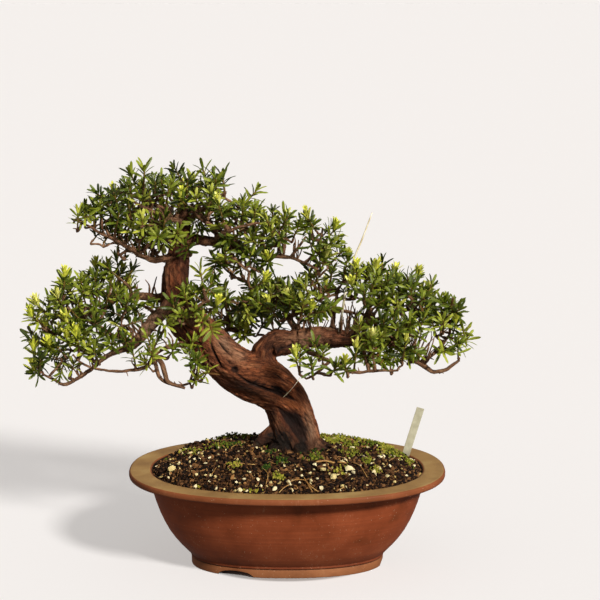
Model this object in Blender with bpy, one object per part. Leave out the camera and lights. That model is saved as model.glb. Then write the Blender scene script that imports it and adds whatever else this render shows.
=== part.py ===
# Japanese yew bonsai in an oval stoneware pot: a leaning trunk with its limbs and twigs, needle
# sprays at the twig ends, the potting mix, the drain screens, a plant tag and a dry grass stem.
# Sizes are in mm and measured from the pot's centre. The last step moves everything sideways, so
# that the origin is in the middle of the whole footprint, on the surface below. The front is -Y.

import math
import random

import bmesh
import bpy
import numpy as np
from mathutils import Matrix, Vector, noise

MM = 0.001
SEAT_GAP = 0.3  # between touching pieces, in mm
HOLE_GAP = 0.45  # round what stands in the potting mix, measured at the corners of the hole

# The pot, in mm. A profile point is (inset from the rim's outer edge, height).
RIM_HALF_LENGTH = 180.0
RIM_HALF_DEPTH = 133.0
POT_HEIGHT = 112.0
OVAL_POWER = 2.25  # 2 is an ellipse, more is fuller at the corners
OVAL_SIDES = 36
FOOT_INSET = 70.0
FOOT_WIDTH = 10.0
FOOT_HEIGHT = 10.0
FLOOR_TOP = 19.0
LIP_THICKNESS = 6.0
LIP_CHAMFER = 2.0
LIP_TOP_CHAMFER = 1.5
RIM_WIDTH = 25.0
OUTER_WALL = ((71, 10.2), (69.4, 12), (65, 18), (56, 27.5), (44, 44), (34, 65), (26, 89), (21, 106))
INNER_WALL = ((29, 105.5), (36, 84), (49, 56), (65, 34), (88, FLOOR_TOP))
DRAIN_RADIUS = 11.0
DRAIN_CUT = 30.0  # long enough to go right through the floor
DRAIN_PLACES = (-58.0, 58.0)
NOTCH_ANGLES = (0.0, 240.0, 120.0)  # three feet: notches at the right end, front left and back left
NOTCH_HALF_WIDTH = 21.0
NOTCH_HEIGHT = 7.0

# The drain screens, in mm
SCREEN_SIDE = 34.0
SCREEN_THICKNESS = 0.8
SCREEN_HOLE = 7.0
SCREEN_PITCH = 10.0

# The potting mix, in mm: a mound with steep shoulders
SOIL_EDGE_HEIGHT = 109.0
SOIL_MOUND = 25.0
SOIL_RINGS = (0.92, 0.76, 0.54, 0.28)
SOIL_RELIEF = 2.2
SOIL_RELIEF_SPAN = 19.0
SOIL_WALL_GAP = 0.5
SOIL_FLOOR_SHRINK = 1.5
SOIL_EDGE_SHRINK = 2.9
SOIL_EDGE_DROP = 0.8

# Wood: a path point is (x, y, z, radius), in mm
TRUNK = (
    (7, 10, 84, 25), (7, 10, 108, 28), (8, 10, 130, 29), (8, 10, 147, 28), (6, 9, 162, 26.5),
    (3, 8, 177, 25.5), (-4, 6, 193, 25), (-19, 4, 207, 26.5), (-38, 3, 217, 27), (-57, 1, 226, 25.5),
    (-75, -1, 241, 23.6), (-93, -2, 260, 21.5), (-110, -2, 281, 19), (-120, 0, 300, 16),
    (-124, 2, 320, 13.8), (-123, 3, 340, 13.2), (-121, 3, 361, 12.2), (-117, 2, 379, 9.6),
    (-115, 0, 396, 6.8), (-118, -3, 413, 4.5), (-122, -5, 427, 2.5),
)
TRUNK_SIDES = 14
SLOW_SWELL = 0.055  # three broad muscles round the trunk, as a share of its radius
QUICK_SWELL = 0.04  # five narrower ones that wind the other way
ROOT_BEARINGS = (178, 222, 285, 338, 20, 100)  # degrees round the trunk's foot
ROOT_COURSE = ((10, 13, 12), (26, 5, 9), (41, -4, 6), (56, -16, 3.5))  # (reach, rise, radius)
ROOT_START = (8, 10, 130)
THICK_LIMB, MIDDLING_LIMB = 10, 5  # radii from which a limb has eight and six sides instead of four
LIMBS = {
    "right_limb": (
        (-24, 3, 222, 15), (-27, 4, 240, 12.5), (-22, 5, 253, 11.5), (-8, 5, 259, 10.8),
        (16, 3, 259, 9.2), (43, 0, 258, 8.4), (71, -3, 259, 7.6), (99, -6, 259, 6.6),
        (118, -10, 258, 5.6), (129, -14, 251, 4.4), (140, -18, 242, 3.6), (153, -20, 234, 3),
        (165, -20, 227, 2.6), (180, -18, 230, 2.2), (193, -15, 239, 1.6),
    ),
    "right_rise": ((111, -8, 259, 4), (128, 5, 270, 3.4), (145, 15, 282, 2.4), (168, 20, 294, 1.4)),
    "right_end": ((149, -20, 236, 2.4), (160, -18, 245, 2.2), (173, -12, 255, 1.8), (183, -6, 267, 1.3)),
    "right_back": ((65, -2, 259, 4.5), (81, 25, 265, 3.6), (101, 48, 273, 2.6), (135, 64, 284, 1.4)),
    "right_front": (
        (15, 2, 258, 4.2), (24, -22, 252, 3.4), (39, -42, 248, 2.8), (56, -52, 242, 2.3),
        (72, -58, 235, 2), (97, -56, 236, 1.7), (122, -48, 235, 1.3),
    ),
    "right_hook": ((48, -47, 245, 1.9), (34, -51, 233, 1.6), (22, -52, 226, 1.2)),
    "right_top": ((48, 0, 259, 4), (51, 5, 276, 3), (54, 8, 295, 2.2), (57, 8, 313, 1.4)),
    "right_inner": ((15, 4, 261, 3.5), (3, 12, 278, 2.6), (-5, 18, 296, 1.8), (-10, 20, 311, 1.3)),
    "back_limb": (
        (-93, 6, 265, 7), (-84, 35, 270, 4.8), (-69, 60, 269, 3.8), (-45, 78, 271, 2.6), (-16, 86, 284, 1.4),
    ),
    "back_low": ((-71, 58, 269, 2.6), (-63, 64, 257, 2), (-46, 66, 254, 1.3)),
    "left_limb": (
        (-126, -4, 306, 8), (-140, -18, 294, 5.6), (-152, -26, 280, 5), (-164, -31, 267, 4.6),
        (-174, -33, 258, 4.1), (-198, -36, 249, 3.1), (-219, -38, 232, 2.4), (-233, -38, 223, 2.1),
        (-248, -38, 217, 1.9), (-271, -32, 227, 1.2),
    ),
    "left_middle": ((-174, -33, 258, 3), (-190, -34, 270, 2.4), (-210, -33, 283, 2), (-251, -26, 303, 1.2)),
    "left_low": ((-210, -38, 240, 2.2), (-223, -34, 253, 1.8), (-258, -22, 268, 1.1)),
    "left_fork": (
        (-104, -8, 259, 6), (-123, -28, 258, 3.4), (-137, -38, 257, 2.8), (-148, -43, 249, 2.5),
        (-154, -46, 239, 2.2), (-177, -48, 234, 1.8), (-207, -46, 235, 1.2),
    ),
    "left_drop": (
        (-147, -42, 250, 2.4), (-143, -47, 236, 2.2), (-139, -49, 225, 2), (-119, -52, 219, 1.5),
        (-107, -53, 222, 1.2),
    ),
    "left_back": (
        (-124, 3, 304, 8), (-148, 14, 305, 5), (-172, 22, 306, 4.2), (-193, 28, 303, 3.4),
        (-250, 35, 317, 1.3),
    ),
    "left_rear": ((-192, 28, 303, 2.8), (-211, 42, 287, 2.3), (-258, 46, 271, 1.2)),
    "crown_left": (
        (-122, 0, 354, 6), (-138, -10, 353, 4), (-152, -17, 354, 3.4), (-178, -30, 371, 2.4),
        (-225, -26, 396, 1.1),
    ),
    "crown_rear": ((-118, 2, 373, 6), (-140, 20, 383, 3.6), (-165, 34, 394, 2.7), (-211, 40, 409, 1.2)),
    "crown_upper": ((-115, 0, 388, 5), (-134, -2, 405, 3.4), (-154, -6, 417, 2.4), (-190, -9, 429, 1.2)),
    "crown_front": ((-116, -2, 393, 4.2), (-124, -22, 399, 3), (-139, -42, 398, 2), (-158, -52, 394, 1.2)),
    "crown_back": ((-116, 2, 395, 4), (-110, 26, 404, 3), (-98, 46, 408, 2), (-84, 55, 408, 1.2)),
    "crown_right": ((-116, 0, 390, 4.6), (-99, -4, 404, 3.3), (-82, -7, 418, 2.4), (-67, -6, 427, 1.3)),
    "shoulder_limb": (
        (-117, 2, 373, 8), (-99, -2, 374, 6), (-84, -5, 372, 5.2), (-52, -11, 366, 3.7), (-26, -14, 358, 2.8),
        (4, -15, 356, 2.1), (34, -12, 342, 1.2),
    ),
    "shoulder_return": ((-71, -8, 371, 3.2), (-85, -12, 390, 2.4), (-97, -16, 406, 1.5)),
    "shoulder_low": ((-65, -9, 369, 3.2), (-59, -28, 357, 2.3), (-41, -38, 343, 1.2)),
    "shoulder_back": ((-52, -10, 366, 3.2), (-37, 18, 373, 2.4), (-15, 33, 381, 1.8), (6, 36, 387, 1.2)),
    "shoulder_front": ((-84, -5, 372, 3.4), (-69, -28, 385, 2.3), (-49, -38, 393, 1.7), (-29, -38, 397, 1.2)),
    "shoulder_end": ((19, -14, 349, 1.9), (31, -10, 361, 1.6), (40, -5, 388, 1.1)),
    "front_limb": ((-102, -6, 274, 6), (-107, -34, 293, 2.8), (-97, -46, 307, 2), (-84, -50, 313, 1.2)),
    "front_left": ((-106, -33, 292, 2.2), (-122, -50, 314, 1.1)),
}

# Foliage clouds, in mm: (name, centre, half sizes). Shoots stand inside them.
CLOUDS = (
    ("crown", (-201, -8, 395), (48, 50, 26)),
    ("crown", (-169, 2, 414), (42, 58, 28)),
    ("crown", (-128, 0, 424), (48, 62, 27)),
    ("crown", (-88, 0, 415), (34, 52, 29)),
    ("crown", (-143, -38, 387), (42, 30, 22)),
    ("crown", (-150, 44, 388), (50, 30, 22)),
    ("shoulder", (-54, -2, 394), (46, 54, 28)),
    ("shoulder", (-17, 2, 393), (42, 50, 22)),
    ("shoulder", (32, -4, 374), (34, 38, 34)),
    ("shoulder", (-66, -28, 358), (32, 24, 18)),
    ("left", (-257, -12, 272), (42, 48, 44)),
    ("left", (-219, 4, 305), (50, 60, 38)),
    ("left", (-180, -8, 290), (28, 48, 44)),
    ("left", (-235, -30, 252), (42, 32, 32)),
    ("left", (-152, -42, 251), (26, 26, 24)),
    ("left", (-100, -56, 242), (17, 14, 27)),
    ("front", (-99, -48, 303), (36, 22, 28)),
    ("back", (-60, 74, 278), (34, 34, 36)),
    ("back", (-20, 68, 294), (44, 40, 34)),
    ("right", (32, 20, 311), (50, 58, 34)),
    ("right", (85, 8, 312), (46, 72, 34)),
    ("right", (134, 4, 303), (42, 66, 38)),
    ("right", (177, -4, 270), (32, 48, 46)),
    ("right", (125, -42, 276), (44, 32, 26)),
    ("right", (42, -54, 242), (42, 24, 25)),
    ("right", (86, -50, 272), (34, 24, 22)),
)
CANDIDATES_PER_CLOUD = 90
LOWEST_SLOPE = -0.45  # shoots below this slope of a cloud's underside are left out
NEEDLE_REACH = 13.0  # how far the needles stand out past a shoot's middle
INNER_SHARE = 0.5  # no shoot stands nearer a cloud's centre than the root of this share
UPWARD_LEAN = 0.75  # shoots turn up to the light
LOOSE_LEAN = 0.22
SPRAY_COUNT = 47
RANDOM_SEED = 7

# A shoot with its needles, in mm
SHOOT_LENGTH = 19.0
SHOOT_RADIUS = 1.1
SHOOT_TIP_RADIUS = 0.7
SHOOT_SIDES = 5
NEEDLE_BANDS = 6  # each band of the stem carries needles on two of its sides
NEEDLES_PER_BAND = 2
NEEDLE_LENGTH = (13.0, 18.0)
NEEDLE_WIDTH = 2.6
NEEDLE_THICKNESS = 1.0
NEEDLE_NECK = 3.0  # slim stretch at the foot of a needle
NEEDLE_START = 4.5  # bare stretch at the foot of a shoot
LOW_TILT, HIGH_TILT = 76.0, 30.0  # degrees from the stem, at its foot and at its tip
NEEDLE_BENDS = (0, -12, 12, -24)  # degrees that a needle may be bent by, to clear a neighbour
NEEDLE_SWING = 0.12  # radians to either side
OWN_CLEARANCE = 0.15  # kept between the needles of one spray
BUD_LENGTH = 2.5
TWIG_RADIUS = 1.1
TWIG_FOOT_RADIUS = 1.7
TWIG_STEPS = 2
TWIG_END = 4.0  # straight stretch below a shoot
TWIG_CLIMB = 1.2  # how strongly a twig avoids starting above its shoot
LONGEST_TWIG = 62.0
STEM_SPACING = 6.0
CLEARANCE = 0.5  # kept between two sprays, or a spray and the wood

# The plant tag and the dry grass stem, in mm
TAG_FOOT = (126.5, 40, 77)
TAG_TOP = (154.5, 40, 171)
TAG_WIDTH = 9.0
TAG_THICKNESS = 1.0
TAG_POINT = 14.0
STRAW = (
    (58, -4, 262), (59.5, -5, 276), (62, -6, 293), (66, -6, 317), (74, -5, 350), (84, -3, 375), (95, 0, 404),
)
STRAW_RADIUS = 0.9
STRAW_TIP_RADIUS = 0.45

SHARP_ANGLE = math.radians(35)

MATERIALS = {
    # name: colour, roughness
    "stoneware": ((0.22, 0.085, 0.038), 0.72),
    "potting_mix": ((0.035, 0.022, 0.013), 0.95),
    "yew_bark": ((0.16, 0.062, 0.036), 0.85),
    "yew_needle": ((0.085, 0.17, 0.02), 0.42),
    "screen_plastic": ((0.03, 0.03, 0.03), 0.6),
    "tag_plastic": ((0.45, 0.46, 0.36), 0.5),
    "dry_straw": ((0.75, 0.68, 0.52), 0.7),
}


# Scene and mesh helpers

def clear_scene():
    for obj in list(bpy.data.objects):
        bpy.data.objects.remove(obj, do_unlink=True)


def new_collection(name):
    collection = bpy.data.collections.new(name)
    bpy.context.scene.collection.children.link(collection)
    return collection


def make_material(name):
    colour, roughness = MATERIALS[name]
    material = bpy.data.materials.new(name)
    material.use_nodes = True
    shader = material.node_tree.nodes["Principled BSDF"]
    shader.inputs["Base Color"].default_value = (*colour, 1)
    shader.inputs["Roughness"].default_value = roughness
    shader.inputs["Metallic"].default_value = 0
    return material


def object_from(bm, name, collection):
    """Turns a bmesh in millimetres into an object in metres."""
    bmesh.ops.recalc_face_normals(bm, faces=bm.faces)
    bmesh.ops.triangulate(bm, faces=bm.faces, quad_method="FIXED")
    bmesh.ops.scale(bm, vec=(MM, MM, MM), verts=bm.verts)
    mesh = bpy.data.meshes.new(name)
    bm.to_mesh(mesh)
    bm.free()
    obj = bpy.data.objects.new(name, mesh)
    collection.objects.link(obj)
    return obj


def smooth_path(points, steps):
    """Samples of a Catmull-Rom curve through (x, y, z, radius) points."""
    rows = [np.array(p, float) for p in points]
    rows = [2 * rows[0] - rows[1], *rows, 2 * rows[-1] - rows[-2]]
    samples = []
    for before, start, end, after in zip(rows, rows[1:], rows[2:], rows[3:]):
        for step in range(steps):
            t = step / steps
            samples.append(0.5 * (
                2 * start + (end - before) * t
                + (2 * before - 5 * start + 4 * end - after) * t * t
                + (3 * start - before - 3 * end + after) * t ** 3
            ))
    samples.append(rows[-2])
    return samples


def tube(name, samples, sides, collection, clearance=0.0):
    """A tapered tube along (x, y, z, radius) samples, as one closed mesh. It has 4, 6, 8 or more sides."""
    curve = bpy.data.curves.new(name, "CURVE")
    curve.dimensions = "3D"
    curve.bevel_depth = MM
    curve.bevel_resolution = (sides - 4) // 2
    curve.use_fill_caps = True
    spline = curve.splines.new("POLY")
    spline.points.add(len(samples) - 1)
    for point, (x, y, z, radius) in zip(spline.points, samples):
        point.co = (x * MM, y * MM, z * MM, 1)
        point.radius = radius + clearance
    guide = bpy.data.objects.new(name + "_guide", curve)
    collection.objects.link(guide)
    graph = bpy.context.evaluated_depsgraph_get()
    mesh = bpy.data.meshes.new_from_object(guide.evaluated_get(graph))
    bpy.data.objects.remove(guide)
    bm = bmesh.new()
    bm.from_mesh(mesh)
    bmesh.ops.remove_doubles(bm, verts=bm.verts, dist=0.01 * MM)
    bmesh.ops.recalc_face_normals(bm, faces=bm.faces)
    bmesh.ops.triangulate(bm, faces=bm.faces, quad_method="FIXED")
    bm.to_mesh(mesh)
    bm.free()
    obj = bpy.data.objects.new(name, mesh)
    collection.objects.link(obj)
    return obj


def apply_boolean(target, operand, operation, solver="EXACT"):
    """Applies one Boolean with an object or a whole collection, and removes what it used."""
    modifier = target.modifiers.new("cut_or_join", "BOOLEAN")
    modifier.operation = operation
    modifier.solver = solver
    if isinstance(operand, bpy.types.Collection):
        modifier.operand_type = "COLLECTION"
        modifier.collection = operand
        used = list(operand.objects)
    else:
        modifier.object = operand
        used = [operand]
    graph = bpy.context.evaluated_depsgraph_get()
    mesh = bpy.data.meshes.new_from_object(target.evaluated_get(graph))
    target.modifiers.clear()
    target.data = mesh
    for obj in used:
        bpy.data.objects.remove(obj)


def keep_main_body(obj):
    """Drops loose scraps and the walls of sealed hollows, and leaves the largest body."""
    bm = bmesh.new()
    bm.from_mesh(obj.data)
    unseen = set(bm.verts)
    bodies = []
    while unseen:
        body, front = set(), [unseen.pop()]
        while front:
            vert = front.pop()
            body.add(vert)
            for edge in vert.link_edges:
                other = edge.other_vert(vert)
                if other in unseen:
                    unseen.discard(other)
                    front.append(other)
        bodies.append(body)
    bodies.sort(key=len, reverse=True)
    for body in bodies[1:]:
        bmesh.ops.delete(bm, geom=list(body), context="VERTS")
    bm.to_mesh(obj.data)
    bm.free()


# The pot, its screens and the potting mix

def oval_point(angle, inset, height):
    """A point of the oval that lies a given inset inside the rim's outer edge."""
    cosine, sine = math.cos(angle), math.sin(angle)
    power = 2 / OVAL_POWER
    x = (RIM_HALF_LENGTH - inset) * math.copysign(abs(cosine) ** power, cosine)
    y = (RIM_HALF_DEPTH - inset) * math.copysign(abs(sine) ** power, sine)
    return Vector((x, y, height))


def oval_loft(rings):
    """A closed solid through rings of points, each a list of the same length, capped at both ends."""
    bm = bmesh.new()
    loops = [[bm.verts.new(point) for point in ring] for ring in rings]
    for ring in loops:
        for vert, following in zip(ring, ring[1:] + ring[:1]):
            bm.edges.new((vert, following))
    for lower, upper in zip(loops, loops[1:]):
        edges = [edge for edge in bm.edges if set(edge.verts) <= set(lower) or set(edge.verts) <= set(upper)]
        bmesh.ops.bridge_loops(bm, edges=edges)
    for ring in (loops[0], loops[-1]):
        bm.faces.new(ring)
    return bm


def oval_angles():
    return [2 * math.pi * step / OVAL_SIDES for step in range(OVAL_SIDES)]


def build_pot(collection):
    inner_foot = FOOT_INSET + FOOT_WIDTH
    profile = [
        (inner_foot + 1, FOOT_HEIGHT), (inner_foot, 0), (FOOT_INSET, 0), (FOOT_INSET, FOOT_HEIGHT - 1),
        *OUTER_WALL,
        (LIP_CHAMFER, POT_HEIGHT - LIP_THICKNESS), (0, POT_HEIGHT - LIP_THICKNESS + LIP_CHAMFER),
        (0, POT_HEIGHT - LIP_TOP_CHAMFER), (LIP_CHAMFER, POT_HEIGHT), (RIM_WIDTH, POT_HEIGHT),
        *INNER_WALL,
    ]
    rings = [[oval_point(angle, inset, height) for angle in oval_angles()] for inset, height in profile]
    pot = object_from(oval_loft(rings), "pot", collection)
    cutters = new_collection("pot_cutters")
    for place in DRAIN_PLACES:
        bm = bmesh.new()
        bmesh.ops.create_cone(
            bm, cap_ends=True, segments=16, radius1=DRAIN_RADIUS, radius2=DRAIN_RADIUS, depth=DRAIN_CUT,
            matrix=Matrix.Translation((place, 0, FOOT_HEIGHT)),
        )
        object_from(bm, "drain_cutter", cutters)
    for bearing in NOTCH_ANGLES:
        object_from(notch_cutter(math.radians(bearing)), "notch_cutter", cutters)
    apply_boolean(pot, cutters, "DIFFERENCE")
    bpy.data.collections.remove(cutters)
    keep_main_body(pot)
    return pot


def notch_cutter(bearing):
    """A flat arch across the foot ring, with its axis square to the ring."""
    middle = FOOT_INSET + FOOT_WIDTH / 2
    centre = oval_point(bearing, middle, 0)
    ahead = oval_point(bearing + 0.02, middle, 0) - oval_point(bearing - 0.02, middle, 0)
    outward = Vector((ahead.y, -ahead.x, 0)).normalized()
    turn = Matrix.Rotation(math.atan2(outward.y, outward.x), 4, "Z") @ Matrix.Rotation(math.pi / 2, 4, "Y")
    bm = bmesh.new()
    bmesh.ops.create_cone(
        bm, cap_ends=True, segments=20, radius1=1, radius2=1, depth=3 * FOOT_WIDTH,
        matrix=Matrix.Translation(centre) @ turn @ Matrix.Diagonal((NOTCH_HEIGHT, NOTCH_HALF_WIDTH, 1, 1)),
    )
    return bm


def build_screen(name, place, collection):
    """A plastic mesh plate over a drain hole."""
    bm = bmesh.new()
    height = FLOOR_TOP + SEAT_GAP + SCREEN_THICKNESS / 2
    sizes = Matrix.Diagonal((SCREEN_SIDE, SCREEN_SIDE, SCREEN_THICKNESS, 1))
    bmesh.ops.create_cube(bm, size=1, matrix=Matrix.Translation((place, 0, height)) @ sizes)
    screen = object_from(bm, name, collection)
    holes = new_collection(name + "_holes")
    for column in (-1, 0, 1):
        for row in (-1, 0, 1):
            bm = bmesh.new()
            centre = (place + column * SCREEN_PITCH, row * SCREEN_PITCH, height)
            hole = Matrix.Diagonal((SCREEN_HOLE, SCREEN_HOLE, 4, 1))
            bmesh.ops.create_cube(bm, size=1, matrix=Matrix.Translation(centre) @ hole)
            object_from(bm, "screen_hole", holes)
    apply_boolean(screen, holes, "DIFFERENCE")
    bpy.data.collections.remove(holes)
    keep_main_body(screen)
    return screen


def soil_height(x, y):
    along = abs(x) / (RIM_HALF_LENGTH - RIM_WIDTH)
    across = abs(y) / (RIM_HALF_DEPTH - RIM_WIDTH)
    mound = SOIL_MOUND * max(0, 1 - along ** 2.2) * max(0, 1 - across ** 4)
    relief = SOIL_RELIEF * noise.noise(Vector((x, y, 0)) / SOIL_RELIEF_SPAN)
    return SOIL_EDGE_HEIGHT + mound + relief * min(1, mound / 5)


def build_soil(collection, cutters):
    bottom = FLOOR_TOP + SEAT_GAP + SCREEN_THICKNESS + SEAT_GAP
    wall = [(INNER_WALL[-1][0] + SOIL_FLOOR_SHRINK, bottom)]
    wall += [(inset + SOIL_WALL_GAP, height) for inset, height in reversed(INNER_WALL[:-1])]
    wall += [(RIM_WIDTH + SOIL_EDGE_SHRINK, SOIL_EDGE_HEIGHT - SOIL_EDGE_DROP)]
    rings = [[oval_point(angle, inset, height) for angle in oval_angles()] for inset, height in wall]
    edge = rings[-1]
    for share in SOIL_RINGS:
        ring = [Vector((point.x * share, point.y * share, 0)) for point in edge]
        rings.append([Vector((point.x, point.y, soil_height(point.x, point.y))) for point in ring])
    soil = object_from(oval_loft(rings), "potting_mix", collection)
    apply_boolean(soil, cutters, "DIFFERENCE")
    keep_main_body(soil)
    return soil


# Trunk, limbs and twigs

def flute(obj, samples):
    """Gives the trunk its long muscles and hollows: the radius swells and sinks round the axis."""
    centres = np.array([sample[:3] for sample in samples]) * MM
    radii = np.array([sample[3] for sample in samples]) * MM
    for vert in obj.data.vertices:
        offset = np.array(vert.co) - centres
        nearest = int(np.argmin((offset ** 2).sum(1)))
        spoke = offset[nearest]
        reach = np.linalg.norm(spoke)
        if reach < 0.3 * radii[nearest]:
            continue
        turn = math.atan2(spoke[1], spoke[0] + 0.6 * spoke[2])
        along = nearest / len(samples)
        swell = SLOW_SWELL * math.cos(3 * turn + 9 * along)
        swell += QUICK_SWELL * math.cos(5 * turn - 14 * along + 1)
        vert.co += Vector(spoke / reach) * swell * radii[nearest]


def trunk_piece(collection, clearance=0.0):
    piece = tube("trunk_piece", TRUNK, TRUNK_SIDES, collection, clearance)
    flute(piece, TRUNK)
    return piece


def root_pieces(collection, clearance=0.0):
    """Short surface roots that leave the trunk's foot and dive into the potting mix."""
    x, y, z = ROOT_START
    for bearing in ROOT_BEARINGS:
        turn = math.radians(bearing)
        path = [
            (x + reach * math.cos(turn), y + reach * math.sin(turn), z + rise, radius)
            for reach, rise, radius in ROOT_COURSE
        ]
        tube("root", path, 8, collection, clearance)


def build_wood(twigs, collection):
    wood = trunk_piece(collection)
    wood.name = "trunk_and_branches"
    pieces = new_collection("wood_pieces")
    root_pieces(pieces)
    for name, path in LIMBS.items():
        radius = path[0][3]
        sides = 8 if radius > THICK_LIMB else 6 if radius > MIDDLING_LIMB else 4
        tube(name, path, sides, pieces)
    for twig in twigs:
        tube("twig", twig, 4, pieces)
    apply_boolean(wood, pieces, "UNION", "MANIFOLD")
    bpy.data.collections.remove(pieces)
    apply_boolean(wood, straw_piece("straw_socket", collection, SEAT_GAP), "DIFFERENCE", "MANIFOLD")
    keep_main_body(wood)
    return wood


# Where the shoots stand, and the twigs that carry them

class Segments:
    """Straight runs with a radius, for measuring how far a new run stays clear of them."""

    def __init__(self):
        self.starts, self.ends, self.radii = [], [], []

    def add(self, start, end, radius):
        self.starts.append(tuple(start))
        self.ends.append(tuple(end))
        self.radii.append(radius)

    def add_path(self, samples):
        for first, second in zip(samples, samples[1:]):
            self.add(first[:3], second[:3], max(first[3], second[3]))

    def room(self, start, end, radius):
        """The smallest free gap between a run and all of these, in mm."""
        if not self.starts:
            return math.inf
        first, second = np.array(self.starts), np.array(self.ends)
        gaps = segment_gaps(np.array(start, float), np.array(end, float), first, second)
        return float((gaps - np.array(self.radii)).min()) - radius


def segment_gaps(p0, p1, q0, q1):
    """Distances from segment p to each segment of q."""
    u, v, w = p1 - p0, q1 - q0, p0 - q0
    a, b, c = u @ u, v @ u, (v * v).sum(1)
    d, e = w @ u, (v * w).sum(1)
    bottom = np.maximum(a * c - b * b, 1e-9)
    s = np.clip((b * e - c * d) / bottom, 0, 1)
    t = np.clip((b * s + e) / np.maximum(c, 1e-9), 0, 1)
    s = np.clip((b * t - d) / a, 0, 1)
    return np.linalg.norm(w + s[:, None] * u - t[:, None] * v, axis=1)


def shoot_candidates(draw):
    """Possible shoot middles with their directions, spread through the clouds."""
    found = []
    for name, centre, half in CLOUDS:
        room = np.maximum(np.array(half, float) - NEEDLE_REACH, 3)
        for _ in range(CANDIDATES_PER_CLOUD):
            slope = draw.uniform(LOWEST_SLOPE, 1)
            turn = draw.uniform(0, 2 * math.pi)
            level = math.sqrt(1 - slope * slope)
            way = np.array((level * math.cos(turn), level * math.sin(turn), slope))
            depth = draw.uniform(INNER_SHARE, 1) ** 0.5
            middle = np.array(centre) + room * way * depth
            lean = way / room * room.min() + np.array((0, 0, UPWARD_LEAN))
            lean += np.array([draw.gauss(0, LOOSE_LEAN) for _ in range(3)])
            found.append((name, middle, lean / np.linalg.norm(lean)))
    return found


def spread_out(candidates, first):
    """Yields candidates in farthest-point order, so that any first few cover the whole tree."""
    places = np.array([middle for _, middle, _ in candidates])
    nearest = np.linalg.norm(places - np.array(first), axis=1)
    while True:
        pick = int(nearest.argmax())
        yield candidates[pick]
        nearest = np.minimum(nearest, np.linalg.norm(places - places[pick], axis=1))


def twig_path(stations, foot, way):
    """A curved twig from the best place on the limbs to the foot of a shoot, or None if it is too far."""
    places = np.array([station[:3] for station in stations])
    reach = np.linalg.norm(places - foot, axis=1)
    climb = np.maximum(places[:, 2] - foot[2], 0)
    best = int((reach + TWIG_CLIMB * climb).argmin())
    if reach[best] > LONGEST_TWIG:
        return None
    start, last = places[best], foot - way * TWIG_END
    lift = start + (last - start) * 0.35 + np.array((0, 0, 0.12)) * reach[best]
    approach = last - way * reach[best] * 0.3
    first_radius = min(TWIG_FOOT_RADIUS, 0.85 * stations[best][3])
    rows = []
    for step in range(TWIG_STEPS + 1):
        t = step / TWIG_STEPS
        place = (1 - t) ** 3 * start + 3 * (1 - t) ** 2 * t * lift
        place += 3 * (1 - t) * t * t * approach + t ** 3 * last
        rows.append((*place, first_radius + (TWIG_RADIUS - first_radius) * t))
    rows.append((*foot, TWIG_RADIUS))
    return rows


def limb_stations():
    """Points along the limbs where a twig may start."""
    return [tuple(sample) for path in LIMBS.values() for sample in smooth_path(path, 4)[3:]]


def lay_out_shoots():
    """Picks the shoots one by one. Each has a twig, and its stem stays clear of all other wood."""
    wood, stems = Segments(), Segments()
    wood.add_path(smooth_path(TRUNK, 2))
    for path in LIMBS.values():
        wood.add_path(smooth_path(path, 2))
    stems.add_path([(*place, STRAW_RADIUS) for place in STRAW])
    shoots = []
    draw = random.Random(RANDOM_SEED)
    stations = limb_stations()
    for name, middle, way in spread_out(shoot_candidates(draw), TRUNK[0][:3]):
        foot, tip = middle - way * SHOOT_LENGTH / 2, middle + way * SHOOT_LENGTH / 2
        twig = twig_path(stations, foot, way)
        base = foot + way * SEAT_GAP
        if twig is None or wood.room(base, tip, SHOOT_RADIUS + 2 * CLEARANCE) < 0:
            continue
        runs = list(zip(twig, twig[1:]))
        if any(stems.room(a[:3], b[:3], max(a[3], b[3]) + 2 * CLEARANCE) < 0 for a, b in runs):
            continue
        if stems.room(base, tip, SHOOT_RADIUS + STEM_SPACING) < 0:
            continue
        wood.add_path(twig)
        stems.add(base, tip, SHOOT_RADIUS)
        shoots.append((name, base, way, twig))
        if len(shoots) == SPRAY_COUNT:
            return shoots, wood


# Needle sprays

def shoot_frame(way):
    """Two directions square to a shoot, for placing its five sides."""
    across = Vector(way).orthogonal().normalized()
    return across, Vector(way).cross(across)


def side_way(shoot, side):
    """The direction that the middle of one of a stem's sides faces."""
    across, over = shoot_frame(shoot[2])
    turn = 2 * math.pi * (side + 0.5) / SHOOT_SIDES
    return across * math.cos(turn) + over * math.sin(turn)


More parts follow.
